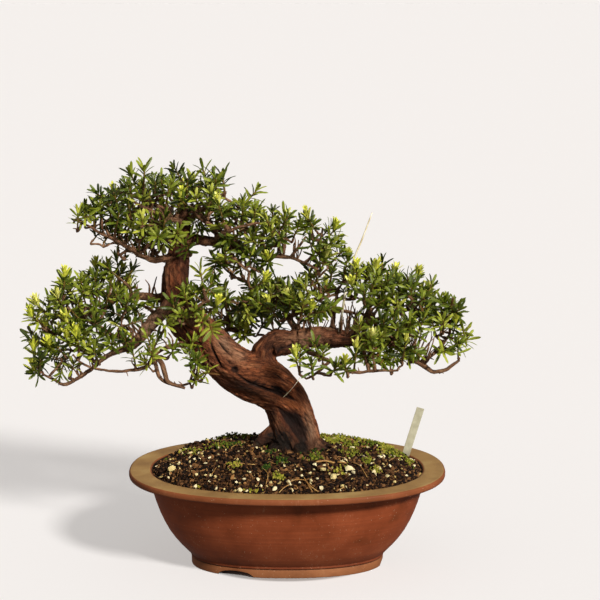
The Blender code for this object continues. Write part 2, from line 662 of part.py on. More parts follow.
def lay_out_needles(shoots, wood):
    """Each shoot's needles, as (band, side, foot, direction, length), bent clear of their neighbours."""
    draw = random.Random(RANDOM_SEED + 1)
    stems, needles, laid = [], [], []
    wood.add_path([(*place, STRAW_RADIUS) for place in STRAW])
    for _, base, way, _ in shoots:
        stem = Segments()
        stem.add(base, base + way * SHOOT_LENGTH, SHOOT_RADIUS)
        stems.append(stem)
        needles.append(Segments())
    for index, shoot in enumerate(shoots):
        axis = Vector(shoot[2])
        others = [other for other in range(len(shoots)) if other != index and near(shoots[other], shoot)]
        row = []
        for number in range(NEEDLE_BANDS * NEEDLES_PER_BAND):
            band, side = number // NEEDLES_PER_BAND, (2 * number) % SHOOT_SIDES
            share = band / (NEEDLE_BANDS - 1)
            outward = side_way(shoot, side)
            foot = Vector(shoot[1]) + axis * band_height(band + 0.5) + outward * 0.8 * SHOOT_RADIUS
            length = draw.uniform(*NEEDLE_LENGTH) * (1 - 0.15 * share)
            spoke = Matrix.Rotation(draw.uniform(-NEEDLE_SWING, NEEDLE_SWING), 3, axis) @ outward
            tilt = LOW_TILT + (HIGH_TILT - LOW_TILT) * share + draw.uniform(-5, 5)
            for bend in NEEDLE_BENDS:
                angle = math.radians(tilt + bend)
                way = (axis * math.cos(angle) + spoke * math.sin(angle)).normalized()
                start, tip = foot + way * NEEDLE_NECK, foot + way * length
                reach = NEEDLE_WIDTH / 2
                rooms = [wood.room(start, tip, reach)]
                rooms += [stems[other].room(start, tip, reach) for other in others]
                rooms += [needles[other].room(start, tip, reach) for other in others]
                own_room = needles[index].room(start, tip, reach)
                if min(rooms) > CLEARANCE and own_room > OWN_CLEARANCE:
                    needles[index].add(start, tip, reach)
                    row.append((band, side, foot, way, length))
                    break
        laid.append(row)
    return laid


def band_height(band):
    return NEEDLE_START + (SHOOT_LENGTH - NEEDLE_START) * band / NEEDLE_BANDS


def near(first, second):
    reach = 2 * (SHOOT_LENGTH + NEEDLE_LENGTH[1])
    return np.linalg.norm(first[1] - second[1]) < reach


def grow_needle(bm, face, foot, way, length, axis):
    """Draws the lower half of a stem's side out into a flat three-sided needle with a pointed tip."""
    across = axis.cross(way).normalized()
    up = way.cross(across)
    halves = bmesh.ops.triangulate(bm, faces=[face], quad_method="FIXED")["faces"]
    half = min(halves, key=lambda part: part.calc_center_median().dot(axis))
    cap = bmesh.ops.extrude_discrete_faces(bm, faces=[half])["faces"][0]
    middle = foot + way * 0.6 * length
    sideways, upward = across * NEEDLE_WIDTH / math.sqrt(3), up * NEEDLE_THICKNESS / 1.5
    turns = [math.pi * (1.5 + 2 * corner) / 3 for corner in range(3)]
    rim = [middle + sideways * math.cos(turn) + upward * math.sin(turn) for turn in turns]
    verts = list(cap.verts)

    def twist(shift):
        return sum((vert.co - rim[(corner + shift) % 3]).length for corner, vert in enumerate(verts))

    start = min(range(3), key=twist)
    for corner, vert in enumerate(verts):
        vert.co = rim[(corner + start) % 3]
    tip = bmesh.ops.poke(bm, faces=[cap])["verts"][0]
    tip.co = foot + way * length


def build_spray(name, shoot, needles, collection):
    """A slim five-sided stem with a bud at its tip and needles drawn out of its sides."""
    _, base, way, _ = shoot
    axis = Vector(way)
    across, over = shoot_frame(way)
    heights = [0] + [band_height(band) for band in range(NEEDLE_BANDS + 1)]
    turns = [2 * math.pi * side / SHOOT_SIDES for side in range(SHOOT_SIDES)]
    spokes = [across * math.cos(turn) + over * math.sin(turn) for turn in turns]
    bm = bmesh.new()
    rings = []
    for height in heights:
        radius = SHOOT_RADIUS + (SHOOT_TIP_RADIUS - SHOOT_RADIUS) * height / SHOOT_LENGTH
        rings.append([bm.verts.new(Vector(base) + axis * height + spoke * radius) for spoke in spokes])
    sides = {}
    for level, (lower, upper) in enumerate(zip(rings, rings[1:])):
        for side in range(SHOOT_SIDES):
            following = (side + 1) % SHOOT_SIDES
            corners = (lower[side], lower[following], upper[following], upper[side])
            sides[level - 1, side] = bm.faces.new(corners)
    bm.faces.new(rings[0][::-1])
    bud = bm.faces.new(rings[-1])
    bmesh.ops.recalc_face_normals(bm, faces=bm.faces)
    bmesh.ops.poke(bm, faces=[bud], offset=BUD_LENGTH)
    for band, side, foot, needle_way, length in needles:
        grow_needle(bm, sides[band, side], foot, needle_way, length, axis)
    return object_from(bm, name, collection)


# The tag and the grass stem

def tag_piece(name, collection, clearance=0.0):
    """A plastic strip with a pointed foot, leaning to the right."""
    foot, top = Vector(TAG_FOOT), Vector(TAG_TOP)
    length = (top - foot).length
    half = TAG_WIDTH / 2 + clearance
    high = length + clearance
    outline = ((0, -clearance), (half, TAG_POINT), (half, high), (-half, high), (-half, TAG_POINT))
    bm = bmesh.new()
    face = bm.faces.new([bm.verts.new((x, 0, z)) for x, z in outline])
    depth = TAG_THICKNESS + 2 * clearance
    grown = bmesh.ops.extrude_face_region(bm, geom=[face])
    moved = [item for item in grown["geom"] if isinstance(item, bmesh.types.BMVert)]
    bmesh.ops.translate(bm, vec=(0, depth, 0), verts=moved)
    bmesh.ops.translate(bm, vec=(0, -depth / 2, 0), verts=bm.verts)
    lean = math.atan2(top.x - foot.x, top.z - foot.z)
    bmesh.ops.transform(bm, matrix=Matrix.Translation(foot) @ Matrix.Rotation(lean, 4, "Y"), verts=bm.verts)
    return object_from(bm, name, collection)


def straw_piece(name, collection, clearance=0.0):
    """A dry stem that stands in a small socket on top of the right limb."""
    count = len(STRAW) - 1
    rows = [
        (*place, STRAW_RADIUS + (STRAW_TIP_RADIUS - STRAW_RADIUS) * (index / count) ** 2)
        for index, place in enumerate(STRAW)
    ]
    rows[0] = (*(np.array(STRAW[0]) - (0, 0, clearance)), STRAW_RADIUS)
    return tube(name, rows, 6, collection, clearance)


def centre_on_footprint(objects):
    """Moves all pieces sideways together, so that the origin is midway across their common box."""
    corners = np.array([obj.matrix_world @ Vector(corner) for obj in objects for corner in obj.bound_box])
    middle = (corners.min(0) + corners.max(0)) / 2
    for obj in objects:
        obj.data.transform(Matrix.Translation((-middle[0], -middle[1], 0)))


def main():
    clear_scene()
    bonsai = new_collection("yew_bonsai")
    shoots, wood_runs = lay_out_shoots()
    needles = lay_out_needles(shoots, wood_runs)

    finishes = {name: make_material(name) for name in MATERIALS}
    made = [(build_pot(bonsai), "stoneware")]
    for name, place in zip(("drain_screen_left", "drain_screen_right"), DRAIN_PLACES):
        made.append((build_screen(name, place, bonsai), "screen_plastic"))

    holes = new_collection("soil_holes")
    trunk_piece(holes, HOLE_GAP)
    root_pieces(holes, HOLE_GAP)
    tag_piece("tag_slot", holes, HOLE_GAP)
    made.append((build_soil(bonsai, holes), "potting_mix"))
    bpy.data.collections.remove(holes)

    made.append((build_wood([shoot[3] for shoot in shoots], bonsai), "yew_bark"))
    counts = {}
    for shoot, row in zip(shoots, needles):
        counts[shoot[0]] = counts.get(shoot[0], 0) + 1
        name = f"{shoot[0]}_spray_{counts[shoot[0]]:02d}"
        made.append((build_spray(name, shoot, row, bonsai), "yew_needle"))
    made.append((tag_piece("plant_tag", bonsai), "tag_plastic"))
    made.append((straw_piece("grass_stem", bonsai), "dry_straw"))

    for obj, finish in made:
        obj.data.materials.clear()
        obj.data.materials.append(finishes[finish])
    centre_on_footprint([obj for obj, _ in made])
    for name in ("pot", "potting_mix", "trunk_and_branches", "grass_stem"):
        mesh = bpy.data.objects[name].data
        mesh.shade_smooth()
        mesh.set_sharp_from_angle(angle=SHARP_ANGLE)


main()
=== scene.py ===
import math
import random

import bmesh
import bpy
import numpy as np
from mathutils import Matrix, Vector, noise
from mathutils.bvhtree import BVHTree


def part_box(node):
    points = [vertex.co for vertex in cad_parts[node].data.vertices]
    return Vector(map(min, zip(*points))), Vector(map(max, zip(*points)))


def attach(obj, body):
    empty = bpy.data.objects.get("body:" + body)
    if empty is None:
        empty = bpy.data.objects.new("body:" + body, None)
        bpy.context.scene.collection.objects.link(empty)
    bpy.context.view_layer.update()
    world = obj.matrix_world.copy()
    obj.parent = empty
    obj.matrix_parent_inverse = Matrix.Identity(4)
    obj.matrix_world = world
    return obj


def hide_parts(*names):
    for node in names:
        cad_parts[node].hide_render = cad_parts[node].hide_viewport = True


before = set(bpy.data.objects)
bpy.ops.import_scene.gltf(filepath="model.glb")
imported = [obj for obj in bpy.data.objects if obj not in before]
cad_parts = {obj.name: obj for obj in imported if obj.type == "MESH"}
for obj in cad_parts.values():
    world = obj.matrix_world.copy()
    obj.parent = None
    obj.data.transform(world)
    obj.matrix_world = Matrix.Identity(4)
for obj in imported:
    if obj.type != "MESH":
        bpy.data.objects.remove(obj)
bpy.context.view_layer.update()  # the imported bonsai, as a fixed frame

# Japanese yew bonsai in an oval stoneware pot. The dictionaries give lengths in mm from the pot's
# centre, with the front at -Y and the ground at 0. The finished meshes are in metres.

mm = 0.001
potLow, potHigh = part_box("pot")
potMiddle = Vector(((potLow[0] + potHigh[0]) / 2, 0, 0))
toFrame = Matrix.Translation(potMiddle) @ Matrix.Scale(mm, 4)  # from mm round the pot to the frame


# ---- small helpers

def hexColour(text):
    channels = [int(text[at:at + 2], 16) / 255 for at in (0, 2, 4)]
    return (*[c / 12.92 if c <= 0.04045 else ((c + 0.055) / 1.055) ** 2.4 for c in channels], 1)


def addNode(tree, kind, settings=(), links=()):
    # settings name an attribute or a socket, stops fill a colour ramp, links give each socket its source
    node = tree.nodes.new("ShaderNode" + kind)
    for key, value in dict(settings).items():
        if key == "stops":
            ramp = node.color_ramp
            while len(ramp.elements) < len(value):
                ramp.elements.new(0.5)
            for stop, (position, colour) in zip(ramp.elements, value):
                stop.position = position
                stop.color = hexColour(colour) if isinstance(colour, str) else (colour, colour, colour, 1)
        elif isinstance(key, str) and hasattr(node, key):
            setattr(node, key, value)
        else:
            node.inputs[key].default_value = value
    for key, socket in dict(links).items():
        tree.links.new(socket, node.inputs[key])
    return node


def newMaterial(name, settings):
    material = bpy.data.materials.new(name)
    material.use_nodes = True
    tree = material.node_tree
    shader = tree.nodes["Principled BSDF"]
    for key, value in settings.items():
        shader.inputs[key].default_value = value
    return material, tree, shader


def objectPlace(tree):
    return addNode(tree, "TexCoord").outputs["Object"]


def axes(tree, vector):
    return addNode(tree, "SeparateXYZ", {}, {0: vector}).outputs


def storedParts(tree, name):
    # the three numbers of a vector that the mesh carries
    return axes(tree, addNode(tree, "Attribute", {"attribute_name": name}).outputs["Vector"])


def stretched(tree, vector, scale, turn=(0, 0, 0)):
    return addNode(tree, "Mapping", {"Scale": scale, "Rotation": turn}, {"Vector": vector}).outputs[0]


def noisy(tree, vector, scale, detail, roughness=0.5):
    settings = {"Scale": scale, "Detail": detail, "Roughness": roughness}
    return addNode(tree, "TexNoise", settings, {"Vector": vector}).outputs[0]


def toneRamp(tree, value, *stops):
    return addNode(tree, "ValToRGB", {"stops": stops}, {0: value}).outputs[0]


def spread(tree, value, low, high, least=0, most=1):
    # low to high becomes least to most
    return addNode(tree, "MapRange", {1: low, 2: high, 3: least, 4: most}, {0: value}).outputs[0]


def mixedNode(tree, kind, settings, inputs):
    # each input is a fixed value or a socket
    links = {key: value for key, value in inputs.items() if isinstance(value, bpy.types.NodeSocket)}
    fixed = {key: value for key, value in inputs.items() if key not in links}
    return addNode(tree, kind, {**settings, **fixed}, links)


def combine(tree, operation, *values, clamp=False):
    settings = {"operation": operation, "use_clamp": clamp}
    return mixedNode(tree, "Math", settings, dict(enumerate(values))).outputs[0]


def blend(tree, share, under, over, kind="MIX"):
    # one colour over another
    inputs = {0: share, 6: under, 7: hexColour(over) if isinstance(over, str) else over}
    return mixedNode(tree, "Mix", {"data_type": "RGBA", "blend_type": kind}, inputs).outputs[2]


def paint(tree, shader, colour, height=None, strength=0, depth=0, dull=None):
    # the colour, and where they are given the relief and the roughness
    tree.links.new(colour, shader.inputs["Base Color"])
    if dull is not None:
        tree.links.new(dull, shader.inputs["Roughness"])
    if height is not None:
        bump = addNode(tree, "Bump", {"Strength": strength, "Distance": depth}, {"Height": height})
        tree.links.new(bump.outputs[0], shader.inputs["Normal"])


def makePiece(name, mesh, material, slotName, *nodes):
    mesh.materials.clear()
    mesh.materials.append(material)
    piece = bpy.data.objects.new(name, mesh)
    bpy.context.scene.collection.objects.link(piece)
    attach(piece, "root")
    if nodes:
        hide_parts(*nodes)


def meshFrom(bm, name):
    mesh = bpy.data.meshes.new(name)
    bm.to_mesh(mesh)
    bm.free()
    return mesh


def smoothPath(points, steps):
    # Catmull-Rom through (x, y, z, radius) rows
    rows = [np.array(point, float) for point in points]
    rows = [2 * rows[0] - rows[1], *rows, 2 * rows[-1] - rows[-2]]
    samples = []
    for before, start, end, after in zip(rows, rows[1:], rows[2:], rows[3:]):
        for step in range(steps):
            t = step / steps
            samples.append(0.5 * (
                2 * start + (end - before) * t
                + (2 * before - 5 * start + 4 * end - after) * t * t
                + (3 * start - before - 3 * end + after) * t ** 3
            ))
    samples.append(rows[-2])
    return samples


def tubeMesh(name, paths, sides):
    # one closed tube for each path of (x, y, z, radius) rows, in mm
    curve = bpy.data.curves.new(name, "CURVE")
    curve.dimensions = "3D"
    curve.bevel_depth = 1
    curve.bevel_resolution = (sides - 4) // 2
    curve.use_fill_caps = True
    for path in paths:
        spline = curve.splines.new("POLY")
        spline.points.add(len(path) - 1)
        for point, (x, y, z, radius) in zip(spline.points, path):
            point.co = (x, y, z, 1)
            point.radius = radius
    guide = bpy.data.objects.new(name, curve)
    bpy.context.scene.collection.objects.link(guide)
    graph = bpy.context.evaluated_depsgraph_get()
    mesh = bpy.data.meshes.new_from_object(guide.evaluated_get(graph))
    bpy.data.objects.remove(guide)
    bm = bmesh.new()
    bm.from_mesh(mesh)
    bmesh.ops.remove_doubles(bm, verts=bm.verts, dist=0.004)
    bmesh.ops.recalc_face_normals(bm, faces=bm.faces)
    bm.to_mesh(mesh)
    bm.free()
    return mesh


def evaluated(mesh, addModifiers):
    # the mesh that a throwaway object's modifiers make
    guide = bpy.data.objects.new("guide", mesh)
    bpy.context.scene.collection.objects.link(guide)
    addModifiers(guide)
    graph = bpy.context.evaluated_depsgraph_get()
    made = bpy.data.meshes.new_from_object(guide.evaluated_get(graph))
    bpy.data.objects.remove(guide)
    return made


def pointsOf(mesh, kind="co"):
    values = np.empty(len(mesh.vertices) * 3, np.float32)
    mesh.vertices.foreach_get(kind, values)
    return values.reshape(-1, 3).astype(float)


def setPoints(mesh, places):
    mesh.vertices.foreach_set("co", places.astype(np.float32).ravel())
    mesh.update()


def storeVector(mesh, name, values):
    layer = mesh.attributes.new(name, "FLOAT_VECTOR", "POINT")
    layer.data.foreach_set("vector", np.asarray(values, np.float32).ravel())


# ---- the camera, at the photo's place

cameraView = {"place": (14.6, -1871.1, 635.1), "tilt": 80.0, "lens": 101.5, "sensor": 36.0, "picture": 600}


def makeCamera():
    data = bpy.data.cameras.new("photoView")
    data.lens, data.sensor_width, data.sensor_fit = cameraView["lens"], cameraView["sensor"], "HORIZONTAL"
    data.clip_start, data.clip_end = 0.05, 2000
    camera = bpy.data.objects.new("photoView", data)
    bpy.context.scene.collection.objects.link(camera)
    camera.location = toFrame @ Vector(cameraView["place"])
    camera.rotation_euler = (math.radians(cameraView["tilt"]), 0, 0)
    bpy.context.scene.camera = camera


def inPicture(places):
    # where points in mm land in the 600-pixel picture
    offset = np.atleast_2d(places) - np.array(cameraView["place"])
    tilt = math.radians(cameraView["tilt"])
    up = offset @ np.array((0, math.cos(tilt), math.sin(tilt)))
    depth = offset @ np.array((0, math.sin(tilt), -math.cos(tilt)))
    focal = cameraView["lens"] / cameraView["sensor"] * cameraView["picture"]
    middle = cameraView["picture"] / 2
    return np.stack([middle + focal * offset[:, 0] / depth, middle - focal * up / depth], 1)


def sightLine(across, down):
    # the camera's place and the way it looks through a spot of the 600-pixel picture
    tilt = math.radians(cameraView["tilt"])
    focal = cameraView["lens"] / cameraView["sensor"] * cameraView["picture"]
    middle = cameraView["picture"] / 2
    right, high = (across - middle) / focal, (middle - down) / focal
    way = Vector((right, math.sin(tilt) + high * math.cos(tilt), high * math.sin(tilt) - math.cos(tilt)))
    return Vector(cameraView["place"]), way


makeCamera()
print("camera ready")


# ---- the pot: unglazed stoneware, thrown and trimmed, fired reddish brown

potShape = {
    "halfLength": 180.0, "halfDepth": 133.0,
    "ovalPower": 2.25,  # 2 is an ellipse
    "segments": 176,
    "profile": (  # (inset from the rim's outer edge, height), from under the floor up and over the rim
        (81, 10), (80, 1), (79, 0), (71.2, 0), (70.2, 0.6), (69.9, 1.6), (69.8, 8.6), (70.2, 9.4), (70.6, 9.8),
        (70.2, 10.3), (69.3, 10.8), (68.9, 12), (69.2, 13.2), (68.6, 14), (67, 15.4), (65, 17.6), (60.6, 22.4),
        (56, 27.5), (49.6, 35.6), (44, 44), (38.6, 54.4), (34, 65), (29.8, 77), (26.2, 89), (23.2, 99),
        (21.6, 104), (20, 105.4), (17, 105.6), (6, 105.2), (3, 104.6), (1.4, 104.8), (0.5, 105.6), (0, 107),
        (0, 109.8), (0.4, 111), (1.2, 111.8), (2.4, 112), (5, 111.8), (14, 111.4), (22, 111.7),
        (24, 111.5), (25.6, 110.4),
        (27, 108.4), (29, 104.6), (32.4, 95), (36, 84), (42, 70), (49, 56), (56.6, 44.6), (65, 34), (75, 25), (88, 19),
    ),
    "drainPlaces": (-58.0, 58.0), "drainRadius": 11.0,
    "footInset": 75.0,  # middle of the foot ring
    "notchBearings": (0.0, 240.0, 120.0), "notchHalfWidth": 21.0, "notchHeight": 7.0,
}


def ovalPoint(turn, inset, height):
    cosine, sine, power = math.cos(turn), math.sin(turn), 2 / potShape["ovalPower"]
    x = (potShape["halfLength"] - inset) * math.copysign(abs(cosine) ** power, cosine)
    y = (potShape["halfDepth"] - inset) * math.copysign(abs(sine) ** power, sine)
    return Vector((x, y, height))


def potCutters():
    # two drain holes and three arched notches across the foot ring
    bm = bmesh.new()
    for place in potShape["drainPlaces"]:
        radius = potShape["drainRadius"]
        bmesh.ops.create_cone(
            bm, cap_ends=True, segments=40, radius1=radius, radius2=radius, depth=40,
            matrix=Matrix.Translation((place, 0, 12)),
        )
    for bearing in potShape["notchBearings"]:
        turn = math.radians(bearing)
        centre = ovalPoint(turn, potShape["footInset"], 0)
        ahead = ovalPoint(turn + 0.02, potShape["footInset"], 0) - ovalPoint(turn - 0.02, potShape["footInset"], 0)
        facing = math.atan2(-ahead.x, ahead.y)
        matrix = (
            Matrix.Translation(centre) @ Matrix.Rotation(facing, 4, "Z") @ Matrix.Rotation(math.pi / 2, 4, "Y")
            @ Matrix.Diagonal((potShape["notchHeight"], potShape["notchHalfWidth"], 1, 1))
        )
        bmesh.ops.create_cone(bm, cap_ends=True, segments=48, radius1=1, radius2=1, depth=30, matrix=matrix)
    return meshFrom(bm, "potCutters")


def makePot():
    reach = 200.0  # the profile is first spun round, then each ring is pressed to the oval
    bm = bmesh.new()
    verts = [bm.verts.new((reach - inset, 0, height)) for inset, height in potShape["profile"]]
    edges = [bm.edges.new(pair) for pair in zip(verts, verts[1:])]
    bmesh.ops.spin(
        bm, geom=verts + edges, axis=(0, 0, 1), cent=(0, 0, 0), angle=2 * math.pi,
        steps=potShape["segments"], use_merge=True,
    )
    bmesh.ops.remove_doubles(bm, verts=bm.verts, dist=0.01)
    for vert in bm.verts:
        turn, inset = math.atan2(vert.co.y, vert.co.x), reach - vert.co.xy.length
        vert.co = ovalPoint(turn, inset, vert.co.z)
    bmesh.ops.holes_fill(bm, edges=[edge for edge in bm.edges if edge.is_boundary], sides=0)
    bmesh.ops.recalc_face_normals(bm, faces=bm.faces)
    body = meshFrom(bm, "potBody")
    cutter = bpy.data.objects.new("potCutters", potCutters())
    bpy.context.scene.collection.objects.link(cutter)

    def cut(guide):
        modifier = guide.modifiers.new("cut", "BOOLEAN")
        modifier.operation, modifier.solver, modifier.object = "DIFFERENCE", "EXACT", cutter

    mesh = evaluated(body, cut)
    bpy.data.objects.remove(cutter)
    mesh.transform(toFrame)
    mesh.shade_smooth()
    mesh.set_sharp_from_angle(angle=math.radians(38))
    mesh.name = "pot"
    makePiece("ovalPot", mesh, stonewareMaterial(), "stoneware", "pot")


def stonewareMaterial():
    # Unglazed stoneware: iron-red clay with grog. The kiln and years of watering leave the rim olive-tan,
    # the wall reddish brown with faint level trimming lines, pale mineral specks and a dusty foot.
    material, tree, shader = newMaterial("unglazedStoneware", {"Metallic": 0, "IOR": 1.5, "Specular IOR Level": 0.18})
    place = objectPlace(tree)
    height = axes(tree, place)[2]
    cloud = noisy(tree, place, 17, 6, 0.62)
    lines = noisy(tree, stretched(tree, place, (6, 6, 620)), 1, 3)  # trimming lines 1.5 mm apart
    grit = noisy(tree, place, 900, 2)  # grog of about 1 mm
    speck = addNode(tree, "TexVoronoi", {"Scale": 330}, {"Vector": place}).outputs[0]
    wall = toneRamp(tree, cloud, (0.3, "66300f"), (0.45, "894121"), (0.6, "994c2a"), (0.75, "a85c38"))
    colour = blend(tree, 0.35, wall, lines, "MULTIPLY")
    level = combine(tree, "ADD", combine(tree, "MULTIPLY_ADD", cloud, 0.002, -0.001), height)
    facing = addNode(tree, "TexCoord").outputs["Normal"]
    onTop = combine(tree, "MULTIPLY_ADD", axes(tree, facing)[2], 0.1, level)
    spoke = addNode(tree, "VectorMath", {"operation": "SUBTRACT", 1: tuple(potMiddle)}, {0: place}).outputs[0]
    outward = addNode(tree, "VectorMath", {"operation": "DOT_PRODUCT"}, {0: facing, 1: spoke}).outputs[1]
    for value, bottom, top, most, stops in (
        (level, 0.095, 0.1035, 0.4, ((0.3, "2a0f06"), (0.7, "3a1a0c"))),  # painted shade under the lip, where the lip's shadow falls
        (level, 0.026, 0.014, 0.4, ((0.3, "2c1107"), (0.7, "3c1c0e"))),  # painted shade in the curve over the foot, where the wall turns downward
        (level, 0.105, 0.107, 1, ((0.3, "6c3a1c"), (0.6, "83492a"), (0.8, "9a6440"))),  # the lip's front
        (onTop, 0.203, 0.2095, 1, ((0.3, "7c5c38"), (0.55, "9c7b4c"), (0.8, "b29964"))),  # the lip's olive top
        (level, 0.0108, 0.0098, 1, ((0.3, "6c3f24"), (0.6, "8c5836"), (0.8, "a3724c"))),  # the dusty foot
        (outward, -0.004, -0.02, 1, ((0.3, "1e1209"), (0.7, "3a2716"))),  # the inside, stained by the mix
    ):
        colour = blend(tree, spread(tree, value, bottom, top, 0, most), colour, toneRamp(tree, cloud, *stops))
    # painted shade: a dark line in the groove above the foot, where the bead casts its shadow
    groove = combine(tree, "ABSOLUTE", combine(tree, "SUBTRACT", height, 0.0103))
    colour = blend(tree, spread(tree, groove, 0.0011, 0.0004, 0, 0.85), colour, "2a1208")
    rare = spread(tree, noisy(tree, place, 90, 1), 0.46, 0.58)
    specks = combine(tree, "MULTIPLY", spread(tree, speck, 0.16, 0.05, 0, 0.75), rare)
    colour = blend(tree, specks, colour, "c9a98a")
    scratches = noisy(tree, stretched(tree, place, (260, 260, 34), (0.3, 0.5, 0.2)), 1, 3, 0.7)
    rubbed = combine(tree, "MULTIPLY", spread(tree, scratches, 0.6, 0.74, 0, 0.5), spread(tree, cloud, 0.5, 0.62))
    colour = blend(tree, rubbed, colour, "b38465")
    relief = combine(tree, "MULTIPLY_ADD", lines, 0.6, grit)
    paint(tree, shader, colour, relief, 0.28, 0.0004, spread(tree, cloud, 0.3, 0.7, 0.55, 0.8))
    return material



makePot()
print("pot thrown, cut and fired")


# ---- the wood: paths of the trunk, the roots and the limbs, as (x, y, z, radius)

trunkPath = (
    (7, 10, 84, 25), (7, 10, 108, 28), (8, 10, 130, 29), (8, 10, 147, 28), (6, 9, 162, 26.5),
    (3, 8, 177, 25.5), (-4, 6, 193, 25), (-19, 4, 207, 26.5), (-38, 3, 217, 27), (-57, 1, 226, 25.5),
    (-75, -1, 241, 23.6), (-93, -2, 260, 21.5), (-110, -2, 281, 19), (-120, 0, 300, 16),
    (-124, 2, 320, 13.8), (-123, 3, 340, 13.2), (-121, 3, 361, 12.2), (-117, 2, 379, 9.6),
    (-115, 0, 396, 6.8), (-118, -3, 413, 4.5), (-122, -5, 427, 2.5),
)
limbPaths = {
    "right_limb": (
        (-24, 3, 222, 15), (-27, 4, 240, 12.5), (-22, 5, 253, 11.5), (-8, 5, 259, 10.8),
        (16, 3, 259, 9.2), (43, 0, 258, 8.4), (71, -3, 259, 7.6), (99, -6, 259, 6.6),
        (118, -10, 258, 5.6), (129, -14, 251, 4.4), (140, -18, 242, 3.6), (153, -20, 234, 3),
        (165, -20, 227, 2.6), (180, -18, 230, 2.2), (193, -15, 239, 1.6),
    ),
    "right_rise": ((111, -8, 259, 4), (128, 5, 270, 3.4), (145, 15, 282, 2.4), (168, 20, 294, 1.4)),
    "right_end": ((149, -20, 236, 2.4), (160, -18, 245, 2.2), (173, -12, 255, 1.8), (183, -6, 267, 1.3)),
    "right_back": ((65, -2, 259, 4.5), (81, 25, 265, 3.6), (101, 48, 273, 2.6), (135, 64, 284, 1.4)),
    "right_front": (
        (15, 2, 258, 4.2), (24, -22, 252, 3.4), (39, -42, 248, 2.8), (56, -52, 242, 2.3),
        (72, -58, 235, 2), (97, -56, 236, 1.7), (122, -48, 235, 1.3),
    ),
    "right_hook": ((48, -47, 245, 1.9), (34, -51, 233, 1.6), (22, -52, 226, 1.2)),
    "right_top": ((48, 0, 259, 4), (51, 5, 276, 3), (54, 8, 295, 2.2), (57, 8, 313, 1.4)),
    "right_inner": ((15, 4, 261, 3.5), (3, 12, 278, 2.6), (-5, 18, 296, 1.8), (-10, 20, 311, 1.3)),
    "back_limb": (
        (-93, 6, 265, 7), (-84, 35, 270, 4.8), (-69, 60, 269, 3.8), (-45, 78, 271, 2.6), (-16, 86, 284, 1.4),
    ),
    "back_low": ((-71, 58, 269, 2.6), (-63, 64, 257, 2), (-46, 66, 254, 1.3)),
    "left_limb": (
        (-126, -4, 306, 8), (-140, -18, 294, 5.6), (-152, -26, 280, 5), (-164, -31, 267, 4.6),
        (-174, -33, 258, 4.1), (-198, -36, 249, 3.1), (-219, -38, 232, 2.4), (-233, -38, 223, 2.1),
        (-248, -38, 217, 1.9), (-271, -32, 227, 1.2),
    ),
    "left_middle": ((-174, -33, 258, 3), (-190, -34, 270, 2.4), (-210, -33, 283, 2), (-251, -26, 303, 1.2)),
    "left_low": ((-210, -38, 240, 2.2), (-223, -34, 253, 1.8), (-258, -22, 268, 1.1)),
    "left_fork": (
        (-104, -8, 259, 6), (-123, -28, 258, 3.4), (-137, -38, 257, 2.8), (-148, -43, 249, 2.5),
        (-154, -46, 239, 2.2), (-177, -48, 234, 1.8), (-207, -46, 235, 1.2),
    ),
    "left_drop": (
        (-147, -42, 250, 2.4), (-143, -47, 236, 2.2), (-139, -49, 225, 2), (-119, -52, 219, 1.5),
        (-107, -53, 222, 1.2),
    ),
    "left_back": (
        (-124, 3, 304, 8), (-148, 14, 305, 5), (-172, 22, 306, 4.2), (-193, 28, 303, 3.4),
        (-250, 35, 317, 1.3),
    ),
    "left_rear": ((-192, 28, 303, 2.8), (-211, 42, 287, 2.3), (-258, 46, 271, 1.2)),
    "crown_left": (
        (-122, 0, 354, 6), (-138, -10, 353, 4), (-152, -17, 354, 3.4), (-178, -30, 371, 2.4),
        (-225, -26, 396, 1.1),
    ),
    "crown_rear": ((-118, 2, 373, 6), (-140, 20, 383, 3.6), (-165, 34, 394, 2.7), (-211, 40, 409, 1.2)),
    "crown_upper": ((-115, 0, 388, 5), (-134, -2, 405, 3.4), (-154, -6, 417, 2.4), (-190, -9, 429, 1.2)),
    "crown_front": ((-116, -2, 393, 4.2), (-124, -22, 399, 3), (-139, -42, 398, 2), (-158, -52, 394, 1.2)),
    "crown_back": ((-116, 2, 395, 4), (-110, 26, 404, 3), (-98, 46, 408, 2), (-84, 55, 408, 1.2)),
    "crown_right": ((-116, 0, 390, 4.6), (-99, -4, 404, 3.3), (-82, -7, 418, 2.4), (-67, -6, 427, 1.3)),
    "shoulder_limb": (
        (-117, 2, 373, 8), (-99, -2, 374, 6), (-84, -5, 372, 5.2), (-52, -11, 366, 3.7), (-26, -14, 358, 2.8),
        (4, -15, 356, 2.1), (34, -12, 342, 1.2),
    ),
    "shoulder_return": ((-71, -8, 371, 3.2), (-85, -12, 390, 2.4), (-97, -16, 406, 1.5)),
    "shoulder_low": ((-65, -9, 369, 3.2), (-59, -28, 357, 2.3), (-41, -38, 343, 1.2)),
    "shoulder_back": ((-52, -10, 366, 3.2), (-37, 18, 373, 2.4), (-15, 33, 381, 1.8), (6, 36, 387, 1.2)),
    "shoulder_front": ((-84, -5, 372, 3.4), (-69, -28, 385, 2.3), (-49, -38, 393, 1.7), (-29, -38, 397, 1.2)),
    "shoulder_end": ((19, -14, 349, 1.9), (31, -10, 361, 1.6), (40, -5, 388, 1.1)),
    "front_limb": ((-102, -6, 274, 6), (-107, -34, 293, 2.8), (-97, -46, 307, 2), (-84, -50, 313, 1.2)),
    "front_left": ((-106, -33, 292, 2.2), (-122, -50, 314, 1.1)),
}
roots = {"bearings": (178, 222, 285, 338, 20, 100), "start": (8, 10, 130),
         "course": ((10, 13, 12), (26, 5, 9), (41, -4, 6), (56, -16, 3.5))}  # (reach, rise, radius)
